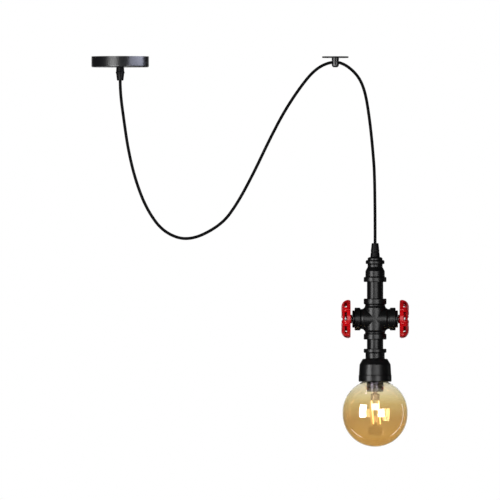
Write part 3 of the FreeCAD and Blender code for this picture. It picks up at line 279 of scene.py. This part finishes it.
# Light cards: how much brighter than its lamp one is after an odd number of bounces, and its colour then.
CARD_GAIN = 2.8
CARD_COLD = (0.67, 0.64, 1.0)
BOUNCE_PAIR = 2.0

# Room and floor.
ROOM_LIGHT = 0.40
ROOM_SHEEN = 0.03
BACKDROP_EDGE = 0.88
FLOOR_Z = -2.0
FLOOR_HALF = 12.0
FLOOR_PALE = 0.45
FLOOR_COLOUR = (0.9, 0.9, 0.89)
FLOOR_ROUGHNESS = 0.9


def settle(node, settings):
    """Sets a node's inputs or properties, named in small letters."""
    for key, value in settings.items():
        label = key.replace("_", " ").title().replace("Ior", "IOR")
        if label in node.inputs:
            node.inputs[label].default_value = value
        else:
            setattr(node, key, value)


def add(tree, kind, **settings):
    """A new node with its settings."""
    node = tree.nodes.new(kind)
    settle(node, settings)
    return node


def new_material(name, **settings):
    """A new material, its node tree and its Principled shader, with some of its inputs set."""
    material = bpy.data.materials.new(name)
    material.use_nodes = True
    tree = material.node_tree
    shader = tree.nodes["Principled BSDF"]
    settle(shader, settings)
    return material, tree, shader


def coordinates(tree, kind="Object"):
    return tree.nodes.new("ShaderNodeTexCoord").outputs[kind]


def split(tree, vector):
    """A vector's X, Y and Z."""
    node = tree.nodes.new("ShaderNodeSeparateXYZ")
    tree.links.new(vector, node.inputs["Vector"])
    return node.outputs


def noise(tree, scale, detail=NOISE_DETAIL, at=None):
    """A noise texture in the object's own metres."""
    node = add(tree, "ShaderNodeTexNoise", scale=scale, detail=detail, roughness=NOISE_ROUGHNESS)
    tree.links.new(at or coordinates(tree), node.inputs["Vector"])
    return node.outputs["Fac"]


def ramp(tree, value, stops):
    """A colour ramp. A stop is (place, colour)."""
    node = tree.nodes.new("ShaderNodeValToRGB")
    elements = node.color_ramp.elements
    while len(elements) < len(stops):
        elements.new(0.5)
    for element, (spot, colour) in zip(elements, stops):
        element.position = spot
        element.color = (*colour, 1.0)
    tree.links.new(value, node.inputs["Fac"])
    return node.outputs["Color"]


def spread(tree, value, low=0.0, high=1.0, start=0.0, end=1.0):
    """A value between a start and an end, spread from low to high."""
    node = add(tree, "ShaderNodeMapRange", from_min=start, from_max=end, to_min=low, to_max=high)
    tree.links.new(value, node.inputs["Value"])
    return node.outputs["Result"]


def math_node(tree, operation, first, second=None):
    node = add(tree, "ShaderNodeMath", operation=operation)
    for socket, value in zip(node.inputs, (first, second)):
        if isinstance(value, (int, float)):
            socket.default_value = value
        elif value is not None:
            tree.links.new(value, socket)
    return node.outputs["Value"]


def mixed(tree, share, first, second):
    """Two shaders mixed by a share."""
    node = tree.nodes.new("ShaderNodeMixShader")
    tree.links.new(share, node.inputs["Fac"])
    tree.links.new(first, node.inputs[1])
    tree.links.new(second, node.inputs[2])
    return node.outputs["Shader"]


def bump(tree, shader, height, relief, before=None, socket="Normal"):
    """A bump of a real height in metres, added to one made before."""
    node = add(tree, "ShaderNodeBump", distance=relief, strength=1.0)
    tree.links.new(height, node.inputs["Height"])
    if before is not None:
        tree.links.new(before, node.inputs["Normal"])
    tree.links.new(node.outputs["Normal"], shader.inputs[socket])
    return node.outputs["Normal"]


def two_tones(tree, pattern, darker, lighter):
    """A colour that wanders between two tones with a pattern."""
    return ramp(tree, pattern, [(TONE_LOW, darker), (TONE_HIGH, lighter)])


def tinted(tree, shader, pattern, darker, lighter):
    """Gives a shader a base colour of two tones."""
    tree.links.new(two_tones(tree, pattern, darker, lighter), shader.inputs["Base Color"])


def roughened(tree, shader, scale, low, high):
    """Gives a shader a roughness that wanders between two values."""
    tree.links.new(spread(tree, noise(tree, scale), low, high), shader.inputs["Roughness"])


def cast_black():
    """Malleable cast iron under satin black paint: fine sand grain and soft lumps."""
    material, tree, shader = new_material("cast black", specular_ior_level=0.29)
    tinted(tree, shader, noise(tree, 260.0), (0.0012, 0.0012, 0.0014), (0.0035, 0.0035, 0.0037))
    roughened(tree, shader, 700.0, 0.26, 0.38)
    lumps = bump(tree, shader, noise(tree, 130.0, detail=2.0), 0.00025)
    bump(tree, shader, noise(tree, 1300.0, detail=3.0), 0.00005, before=lumps)
    return material


def pipe_black():
    """Drawn steel pipe under the same paint: smoother, with faint lines along it."""
    material, tree, shader = new_material("pipe black", specular_ior_level=0.22)
    stretch = add(tree, "ShaderNodeMapping", scale=(1.0, 1.0, PIPE_STRETCH))
    tree.links.new(coordinates(tree), stretch.inputs["Vector"])
    lines = noise(tree, 900.0, at=stretch.outputs["Vector"])
    tinted(tree, shader, lines, (0.0015, 0.0015, 0.0017), (0.0035, 0.0035, 0.0037))
    roughened(tree, shader, 500.0, 0.26, 0.34)
    grain = bump(tree, shader, lines, 0.00003)
    bump(tree, shader, noise(tree, 1500.0), 0.00003, before=grain)
    return material


def black_enamel():
    """Deep gloss enamel with a faint orange peel."""
    material, tree, shader = new_material(
        "black enamel", base_color=(0.004, 0.004, 0.005, 1.0),
        coat_weight=0.75, coat_roughness=0.30, coat_ior=1.5,
    )
    roughened(tree, shader, 300.0, 0.26, 0.36)
    bump(tree, shader, noise(tree, 420.0, detail=1.0), 0.000004, socket="Coat Normal")
    return material


def black_nylon():
    material, tree, shader = new_material("black nylon", specular_ior_level=0.12)
    tinted(tree, shader, noise(tree, 800.0), (0.0015, 0.0015, 0.0018), (0.0035, 0.0035, 0.004))
    roughened(tree, shader, 1200.0, 0.38, 0.5)
    bump(tree, shader, noise(tree, 2600.0), 0.00005)
    return material


def red_enamel():
    """Dipped gloss red over a casting, with painted shade: ambient occlusion darkens the base colour in the recesses.
    """
    material, tree, shader = new_material(
        "red enamel", specular_ior_level=0.12, coat_weight=0.40, coat_roughness=0.12,
    )
    # Painted shade: ambient occlusion darkens the base colour where parts crowd together.
    painted_hollow_shade = add(tree, "ShaderNodeAmbientOcclusion", distance=SHADE_PAINT_REACH)
    tone = two_tones(tree, noise(tree, 220.0), (0.29, 0.0008, 0.002), (0.42, 0.0015, 0.004))
    tree.links.new(tone, painted_hollow_shade.inputs["Color"])
    tree.links.new(painted_hollow_shade.outputs["Color"], shader.inputs["Base Color"])
    roughened(tree, shader, 400.0, 0.22, 0.34)
    lumps = bump(tree, shader, noise(tree, 170.0, detail=2.0), 0.00012)
    tree.links.new(lumps, shader.inputs["Coat Normal"])
    return material


def grained(name, darker, lighter, roughness, relief, metallic):
    """A plain material with a fine grain. Colours and roughness are given as two ends."""
    material, tree, shader = new_material(name, metallic=metallic)
    tinted(tree, shader, noise(tree, GRAIN), darker, lighter)
    roughened(tree, shader, GRAIN * 2, *roughness)
    bump(tree, shader, noise(tree, GRAIN * 3), relief)
    return material


def metal(name, darker, lighter, roughness):
    return grained(name, darker, lighter, roughness, METAL_RELIEF, 1.0)


def plastic(name, darker, lighter, roughness):
    return grained(name, darker, lighter, roughness, PLASTIC_RELIEF, 0.0)


def braided_black():
    """Black textile sleeve. Strands cross at a slant, worked out from the piece's own UV."""
    material, tree, shader = new_material("braided black", roughness=0.85, specular_ior_level=0.04)
    spot = split(tree, coordinates(tree, "UV"))
    round_way = math_node(tree, "MULTIPLY", spot["X"], BRAID_STRANDS * math.pi)
    along = math_node(tree, "MULTIPLY", spot["Y"], BRAID_STRANDS * math.pi)
    rising = math_node(tree, "SINE", math_node(tree, "ADD", round_way, along))
    falling = math_node(tree, "SINE", math_node(tree, "SUBTRACT", round_way, along))
    crossing = math_node(tree, "MULTIPLY", rising, falling)
    weave = math_node(tree, "MULTIPLY", crossing, crossing)
    stops = [(0.0, (0.0015, 0.0015, 0.0016)), (0.4, (0.006, 0.006, 0.0065))]
    tree.links.new(ramp(tree, weave, stops), shader.inputs["Base Color"])
    bump(tree, shader, weave, 0.00005)
    return material


def amber_glass():
    """Tinted glass, deeper amber towards the bottom, with a painted reflection of light from above that turns the top
    pale, under a lustre that fades where the face is seen at a slant.
    """
    material, tree, shader = new_material(
        "amber glass", transmission_weight=1.0, roughness=0.0, ior=GLOBE_IOR,
        coat_roughness=0.0, coat_ior=LUSTRE_IOR,
    )
    low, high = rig.box("bulb_glass")
    height = spread(tree, split(tree, coordinates(tree))["Z"], start=low.z, end=high.z)
    # Painted reflection: the upper stops, near white, stand for light from above reflected in the globe. The deeper
    # amber below is the glass's tint.
    stops = [
        (0.0, (0.83, 0.585, 0.235)),
        (0.35, (0.73, 0.54, 0.275)),
        (0.55, (0.81, 0.68, 0.40)),
        (0.64, (0.88, 0.80, 0.55)),
        (0.85, (1.0, 0.98, 0.90)),
    ]
    tree.links.new(ramp(tree, height, stops), shader.inputs["Base Color"])
    slant = tree.nodes.new("ShaderNodeLayerWeight").outputs["Facing"]
    lustre = spread(tree, slant, 1.0, 0.0, start=LUSTRE_FULL, end=LUSTRE_GONE)
    tree.links.new(lustre, shader.inputs["Coat Weight"])
    return material


def stem_glass():
    """Smoky glass that lets most light through."""
    tint = (0.62, 0.50, 0.42)
    material, tree, shader = new_material(
        "stem glass", transmission_weight=0.85, roughness=0.12, ior=STEM_IOR,
    )
    darker = tuple(STEM_SHADE * part for part in tint)
    tinted(tree, shader, noise(tree, 300.0, detail=1.0), darker, tint)
    return material


def glow():
    """Lit phosphor rods, with a tint that wanders a little."""
    material, tree, shader = new_material("glowing rod", emission_strength=ROD_GLOW, roughness=0.5)
    stops = [(0.2, (1.0, 0.70, 0.32)), (0.8, (1.0, 0.80, 0.46))]
    colour = ramp(tree, noise(tree, 1500.0), stops)
    tree.links.new(colour, shader.inputs["Base Color"])
    tree.links.new(colour, shader.inputs["Emission Color"])
    return material


def dress(mesh, material):
    """One material, and smooth shading between sharp edges."""
    mesh.materials.clear()
    mesh.materials.append(material)
    mesh.shade_smooth()
    mesh.set_sharp_from_angle(angle=SHARP_ANGLE)


def dress_frame():
    """Gives every node of the frame its finish."""
    zinc = metal("zinc plate", (0.50, 0.50, 0.52), (0.66, 0.66, 0.68), (0.24, 0.38))
    brass = metal("brass", (0.62, 0.44, 0.18), (0.78, 0.58, 0.27), (0.22, 0.36))
    solder = metal("solder", (0.55, 0.55, 0.56), (0.70, 0.70, 0.70), (0.30, 0.45))
    nickel = metal("nickel", (0.60, 0.58, 0.54), (0.74, 0.72, 0.68), (0.14, 0.26))
    moulding = plastic("holder moulding", (0.010, 0.010, 0.010), (0.018, 0.018, 0.018), (0.35, 0.5))
    block = plastic("block plastic", (0.66, 0.63, 0.56), (0.74, 0.71, 0.64), (0.40, 0.55))
    sleeve = plastic("core sleeve", (0.16, 0.06, 0.02), (0.22, 0.09, 0.03), (0.25, 0.4))
    black_glass = plastic("black glass", (0.004, 0.004, 0.005), (0.008, 0.008, 0.010), (0.05, 0.12))
    collar = plastic("dark collar", (0.010, 0.004, 0.003), (0.016, 0.007, 0.005), (0.02, 0.05))
    sheath = plastic("inner sheath", (0.006, 0.006, 0.006), (0.010, 0.010, 0.010), (0.5, 0.6))
    enamel = black_enamel()
    cast = cast_black()
    finishes = {
        enamel: ["rose_cover", "holder_post"],
        black_nylon(): ["rose_grip_body", "rose_grip_nut", "pendant_grip_body", "pendant_grip_nut"],
        zinc: [
            "rose_bracket", "rose_side_screws", "earth_screw", "block_screws", "rose_lock_nut",
            "holder_plate_screw", "holder_grub_screw", "holder_disc", "stem_nut", "hollow_stem",
            "left_spindle", "right_spindle", "left_washer", "right_washer",
        ],
        block: ["terminal_block"],
        brass: ["terminal_tubes", "terminal_screws", "screw_shell", "contact_tongue"],
        sleeve: ["rose_cores", "pendant_cores"],
        cast: [
            "holder_plate", "top_bush", "top_reducer", "pipe_cross", "left_plug", "right_plug",
            "lamp_bell",
        ],
        pipe_black(): ["upper_nipple", "lower_nipple"],
        red_enamel(): ["left_handwheel", "right_handwheel"],
        moulding: ["lampholder_housing"],
        amber_glass(): ["bulb_glass"],
        nickel: ["bulb_cap"],
        black_glass: ["bulb_insulator"],
        solder: ["bulb_contact", "filament_leads"],
        collar: ["bulb_collar"],
        stem_glass(): ["bulb_stem"],
        glow(): ["led_filaments"],
        sheath: ["rose_cord_end", "inner_cord"],
    }
    for material, names in finishes.items():
        for name in names:
            dress(nodes[name].data, material)
    reshaped("thick_holder_plate", "holder_plate", thicker_plate, cast)
    reshaped("round_holder_post", "holder_post", rounder_end(*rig.box("holder_post")), enamel)


def put(name, data):
    """A new object in the scene."""
    piece = bpy.data.objects.new(name, data)
    bpy.context.scene.collection.objects.link(piece)
    return piece


def reshaped(name, node, moved, material):
    """A piece made of a node's faces with their points moved. It stands for the node."""
    source = nodes[node].data
    mesh = bpy.data.meshes.new(name)
    faces = [tuple(face.vertices) for face in source.polygons]
    mesh.from_pydata([moved(point.co.copy()) for point in source.vertices], [], faces)
    shape = bmesh.new()
    shape.from_mesh(mesh)
    bmesh.ops.remove_doubles(shape, verts=shape.verts, dist=MERGE_DISTANCE)
    shape.to_mesh(mesh)
    shape.free()
    dress(mesh, material)
    piece = put(name, mesh)
    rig.ride(piece, "root")
    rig.replaces(piece, node)
    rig.slot(piece, "black_enamel")


def thicker_plate(point):
    """The plate's lower face and what hangs from it, moved down."""
    if point.z < PLATE_MIDDLE_Z:
        point.z -= PLATE_ADDED
    return point


def rounder_end(low, high):
    """Spreads the small lower edge of an upright post into a wide round one."""
    axis = (low + high) / 2
    reach = high.x - axis.x

    def moved(point):
        out = Vector((point.x - axis.x, point.y - axis.y))
        across = (out.length - reach + POST_EDGE_R) / POST_EDGE_R
        height = (point.z - low.z) / POST_EDGE_R
        if height > 1.0 + SHAPE_SLACK or across < -SHAPE_SLACK:
            return point
        out *= (reach - POST_ROUND * (1.0 - across)) / out.length
        return Vector((axis.x + out.x, axis.y + out.y, low.z + POST_ROUND_HEIGHT * height))

    return moved


def smooth_line(points):
    """The NURBS line that the route's corners control, as close points."""
    curve = bpy.data.curves.new("route", "CURVE")
    curve.dimensions = "3D"
    curve.resolution_u = LINE_STEPS
    spline = curve.splines.new("NURBS")
    spline.points.add(len(points) - 1)
    for point, corner in zip(spline.points, points):
        point.co = (*corner, 1.0)
    spline.order_u = 3
    spline.use_endpoint_u = True
    spline.resolution_u = LINE_STEPS
    holder = bpy.data.objects.new("route", curve)
    mesh = bpy.data.meshes.new_from_object(holder)
    line = [vertex.co.copy() for vertex in mesh.vertices]
    bpy.data.objects.remove(holder)
    bpy.data.meshes.remove(mesh)
    bpy.data.curves.remove(curve)
    return line


def split_line(line, height):
    """Two lines that meet where the plumb end of the line crosses a height."""
    for i in range(len(line) - 1, 0, -1):
        above, below = line[i - 1], line[i]
        if above.z > height >= below.z:
            share = (above.z - height) / (above.z - below.z)
            meet = above.lerp(below, share)
            return line[:i] + [meet], [meet.copy()] + line[i:]
    raise ValueError("the line doesn't cross that height")


def line_length(line):
    return sum((b - a).length for a, b in zip(line, line[1:]))


def finer(line, longest):
    """The same line with its long steps divided."""
    dense = [line[0]]
    for before, after in zip(line, line[1:]):
        steps = max(1, math.ceil((after - before).length / longest))
        dense.extend(before.lerp(after, step / steps) for step in range(1, steps + 1))
    return dense


def tube_points(line, radius):
    """Rings of points around a line that lies in the plane of X and Z."""
    points = []
    side = Vector((0.0, 1.0, 0.0))
    for i, middle in enumerate(line):
        way = (line[min(i + 1, len(line) - 1)] - line[max(i - 1, 0)]).normalized()
        up = side.cross(way)
        for turn in range(CORD_SIDES):
            angle = 2 * math.pi * turn / CORD_SIDES
            points.append(tuple(middle + radius * (math.cos(angle) * side + math.sin(angle) * up)))
    return points


def tube_skin(line, radius):
    """The faces between the rings and over the ends, and the UV of their corners. Once around is 1."""
    around = 2 * math.pi * radius
    along = 0.0
    faces = []
    spots = []
    for i in range(len(line) - 1):
        further = along + (line[i + 1] - line[i]).length
        start, end = along / around, further / around
        low, high = i * CORD_SIDES, (i + 1) * CORD_SIDES
        for turn in range(CORD_SIDES):
            after = (turn + 1) % CORD_SIDES
            faces.append((low + turn, low + after, high + after, high + turn))
            left, right = turn / CORD_SIDES, (turn + 1) / CORD_SIDES
            spots.extend([(left, start), (right, start), (right, end), (left, end)])
        along = further
    last = (len(line) - 1) * CORD_SIDES
    faces.append(tuple(reversed(range(CORD_SIDES))))
    faces.append(tuple(range(last, last + CORD_SIDES)))
    spots.extend([CAP_UV] * CORD_SIDES * 2)
    return faces, spots


def tube_mesh(name, line, radius, material):
    """A closed tube along a line, with UV for its sleeve."""
    faces, spots = tube_skin(line, radius)
    mesh = bpy.data.meshes.new(name)
    mesh.from_pydata(tube_points(line, radius), [], faces)
    layer = mesh.uv_layers.new(name="sleeve")
    for loop, spot in zip(layer.data, spots):
        loop.uv = spot
    mesh.materials.append(material)
    mesh.shade_smooth()
    mesh.update()
    return put(name, mesh)


def cords():
    """The cord in two pieces, so that it bends at each of its two swing joints."""
    sleeve = braided_black()
    upper, lower = split_line(smooth_line(ROUTE), SPLIT_Z)
    upper = finer(upper, CORD_D)
    lower = finer(lower, CORD_D / 2)
    swag = tube_mesh("swagged_cord", upper, CORD_D / 2, sleeve)
    start = Vector(SWING_BLEND_TOP)
    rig.blend(swag, "root", "cord_link", start=start, end=start + Vector(SWING_BLEND_WAY))
    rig.replaces(swag, "swag_cord", "arch_cord", "link_cord")
    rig.slot(swag, "black_cord")
    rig.cord(
        swag, exit=upper[0], length=line_length(upper), diameter=CORD_D, far_end="object",
        stiffness="limp", lay="hanging", path=upper,
    )
    drop = tube_mesh("plumb_cord", lower, CORD_D / 2, sleeve)
    top = lower[0]
    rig.blend(drop, "cord_link", "cord_drop", start=top, end=top - Vector((0, 0, FRONT_BLEND)))
    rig.replaces(drop, "drop_cord")
    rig.slot(drop, "black_cord")
    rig.cord(
        drop, exit=lower[0], length=line_length(lower), diameter=CORD_D, far_end="object",
        stiffness="limp", lay="taut", path=lower,
    )


def flat_mesh(name, half_x, half_y, z=0.0):
    """A level rectangle around the origin."""
    mesh = bpy.data.meshes.new(name)
    corners = [(-1, -1), (1, -1), (1, 1), (-1, 1)]
    mesh.from_pydata([(x * half_x, y * half_y, z) for x, y in corners], [], [(0, 1, 2, 3)])
    return mesh


def hide_from(piece, *rays):
    for kind in rays:
        setattr(piece, "visible_" + kind, False)


def area_light(name, at, towards, width, height, radiance, colour=WHITE):
    """A rectangular softbox that faces a point. Its strength is given as its brightness."""
    data = bpy.data.lights.new(name, "AREA")
    data.shape = "RECTANGLE"
    data.size = width
    data.size_y = height
    data.energy = radiance * math.pi * width * height
    data.color = colour
    lamp = put(name, data)
    lamp.location = at
    lamp.rotation_euler = (Vector(towards) - Vector(at)).to_track_quat("-Z", "Y").to_euler()
    hide_from(lamp, "camera", "transmission")
    card(lamp, radiance)


def card(lamp, radiance):
    """Stands in a lamp's place for the rays that come through glass, the only ones that see it."""
    name = lamp.name + " card"
    mesh = flat_mesh(name, lamp.data.size / 2, lamp.data.size_y / 2)
    mesh.materials.append(card_material(name, radiance))
    piece = put(name, mesh)
    piece.location = lamp.location
    piece.rotation_euler = lamp.rotation_euler
    hide_from(piece, "camera", "diffuse", "glossy", "shadow")
    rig.stage(piece)


def card_material(name, radiance):
    """Bright after an odd number of bounces, such as one, and white like the backdrop otherwise."""
    material = bpy.data.materials.new(name)
    material.use_nodes = True
    material.cycles.emission_sampling = "NONE"
    tree = material.node_tree
    tree.nodes.clear()
    path = tree.nodes.new("ShaderNodeLightPath")
    bounces = math_node(tree, "SUBTRACT", path.outputs["Ray Depth"], path.outputs["Transmission Depth"])
    mirrored = math_node(tree, "MODULO", bounces, BOUNCE_PAIR)
    light = tree.nodes.new("ShaderNodeEmission")
    colour = ramp(tree, mirrored, [(0.0, WHITE), (1.0, CARD_COLD)])
    tree.links.new(colour, light.inputs["Color"])
    level = spread(tree, mirrored, 1.0, CARD_GAIN * radiance)
    tree.links.new(level, light.inputs["Strength"])
    output = tree.nodes.new("ShaderNodeOutputMaterial")
    tree.links.new(light.outputs["Emission"], output.inputs["Surface"])
    return material


def globe_light(name, azimuth, elevation, width, height, radiance, distance=LIGHT_DISTANCE):
    """A softbox that faces the globe. Its azimuth is from the camera's side, positive to the right."""
    a, e = math.radians(azimuth), math.radians(elevation)
    way = Vector((math.sin(a) * math.cos(e), -math.cos(a) * math.cos(e), math.sin(e)))
    area_light(name, GLOBE + distance * way, GLOBE, width, height, radiance)


def lights():
    globe_light("left softbox", azimuth=-44.5, elevation=7.0, width=0.58, height=0.78, radiance=11.0)
    globe_light(
        "front softbox", azimuth=0.0, elevation=18.0, width=0.32, height=0.29, radiance=3.8,
        distance=FRONT_DISTANCE,
    )
    globe_light("right softbox", azimuth=20.6, elevation=1.0, width=0.52, height=0.46, radiance=7.5)
    area_light(
        "rose strip", ROSE_STRIP_AT, ROSE_STRIP_AIM, width=0.22, height=0.03, radiance=7.5,
        colour=ROSE_STRIP_COLOUR,
    )
    area_light("holder strip", HOLDER_STRIP_AT, HOLDER_STRIP_AIM, width=0.022, height=0.03, radiance=8.0)
    globe_light("right rim strip", azimuth=116.0, elevation=-18.0, width=0.06, height=1.7, radiance=2.0)
    globe_light("left rim strip", azimuth=-120.0, elevation=-43.0, width=0.05, height=0.65, radiance=2.2)


def world():
    """A white backdrop that the camera, glass and glossy faces see, in an otherwise dim room."""
    sky = bpy.data.worlds.new("studio")
    bpy.context.scene.world = sky
    sky.use_nodes = True
    tree = sky.node_tree
    tree.nodes.clear()
    path = tree.nodes.new("ShaderNodeLightPath")
    behind = spread(tree, split(tree, coordinates(tree, "Generated"))["Y"], start=BACKDROP_EDGE)
    mirrored = math_node(tree, "MULTIPLY", path.outputs["Is Glossy Ray"], behind)
    seen = math_node(tree, "MAXIMUM", path.outputs["Is Camera Ray"], path.outputs["Is Transmission Ray"])
    seen = math_node(tree, "MAXIMUM", seen, mirrored)
    white = add(tree, "ShaderNodeBackground", color=(*WHITE, 1.0), strength=1.0)
    room = add(tree, "ShaderNodeBackground", color=(*WHITE, 1.0))
    level = spread(tree, path.outputs["Is Diffuse Ray"], ROOM_SHEEN, ROOM_LIGHT)
    tree.links.new(level, room.inputs["Strength"])
    output = tree.nodes.new("ShaderNodeOutputWorld")
    surface = mixed(tree, seen, room.outputs["Background"], white.outputs["Background"])
    tree.links.new(surface, output.inputs["Surface"])


def floor():
    """A pale floor. From below, and in glass and glossy faces, the backdrop shows instead."""
    mesh = flat_mesh("floor", FLOOR_HALF, FLOOR_HALF, FLOOR_Z)
    material, tree, shader = new_material(
        "pale floor", base_color=(*FLOOR_COLOUR, 1.0), roughness=FLOOR_ROUGHNESS,
        emission_color=(*WHITE, 1.0),
    )
    path = tree.nodes.new("ShaderNodeLightPath")
    pale = math_node(tree, "MULTIPLY", path.outputs["Is Camera Ray"], FLOOR_PALE)
    tree.links.new(pale, shader.inputs["Emission Strength"])
    side = tree.nodes.new("ShaderNodeNewGeometry")
    gone = math_node(tree, "MAXIMUM", path.outputs["Is Glossy Ray"], path.outputs["Is Transmission Ray"])
    gone = math_node(tree, "MAXIMUM", gone, side.outputs["Backfacing"])
    clear = tree.nodes.new("ShaderNodeBsdfTransparent")
    surface = mixed(tree, gone, shader.outputs["BSDF"], clear.outputs["BSDF"])
    tree.links.new(surface, tree.nodes["Material Output"].inputs["Surface"])
    mesh.materials.append(material)
    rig.stage(put("floor", mesh))


def camera():
    data = bpy.data.cameras.new("camera")
    data.sensor_width = SENSOR
    data.lens = SENSOR * CAMERA_DISTANCE / FRAME_WIDTH
    data.clip_end = CAMERA_REACH
    piece = put("camera", data)
    piece.location = (AIM_X, -CAMERA_DISTANCE, AIM_Z)
    piece.rotation_euler = (LEVEL, 0.0, 0.0)
    bpy.context.scene.camera = piece


bpy.context.scene.view_settings.view_transform = "Standard"
camera()
cords()
dress_frame()
lights()
world()
floor()

sizes = {"cad": [list(corner) for corner in cad_box], "visual": [list(corner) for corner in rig.bounds()]}
with open("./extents.json", "w") as written:
    json.dump(sizes, written)
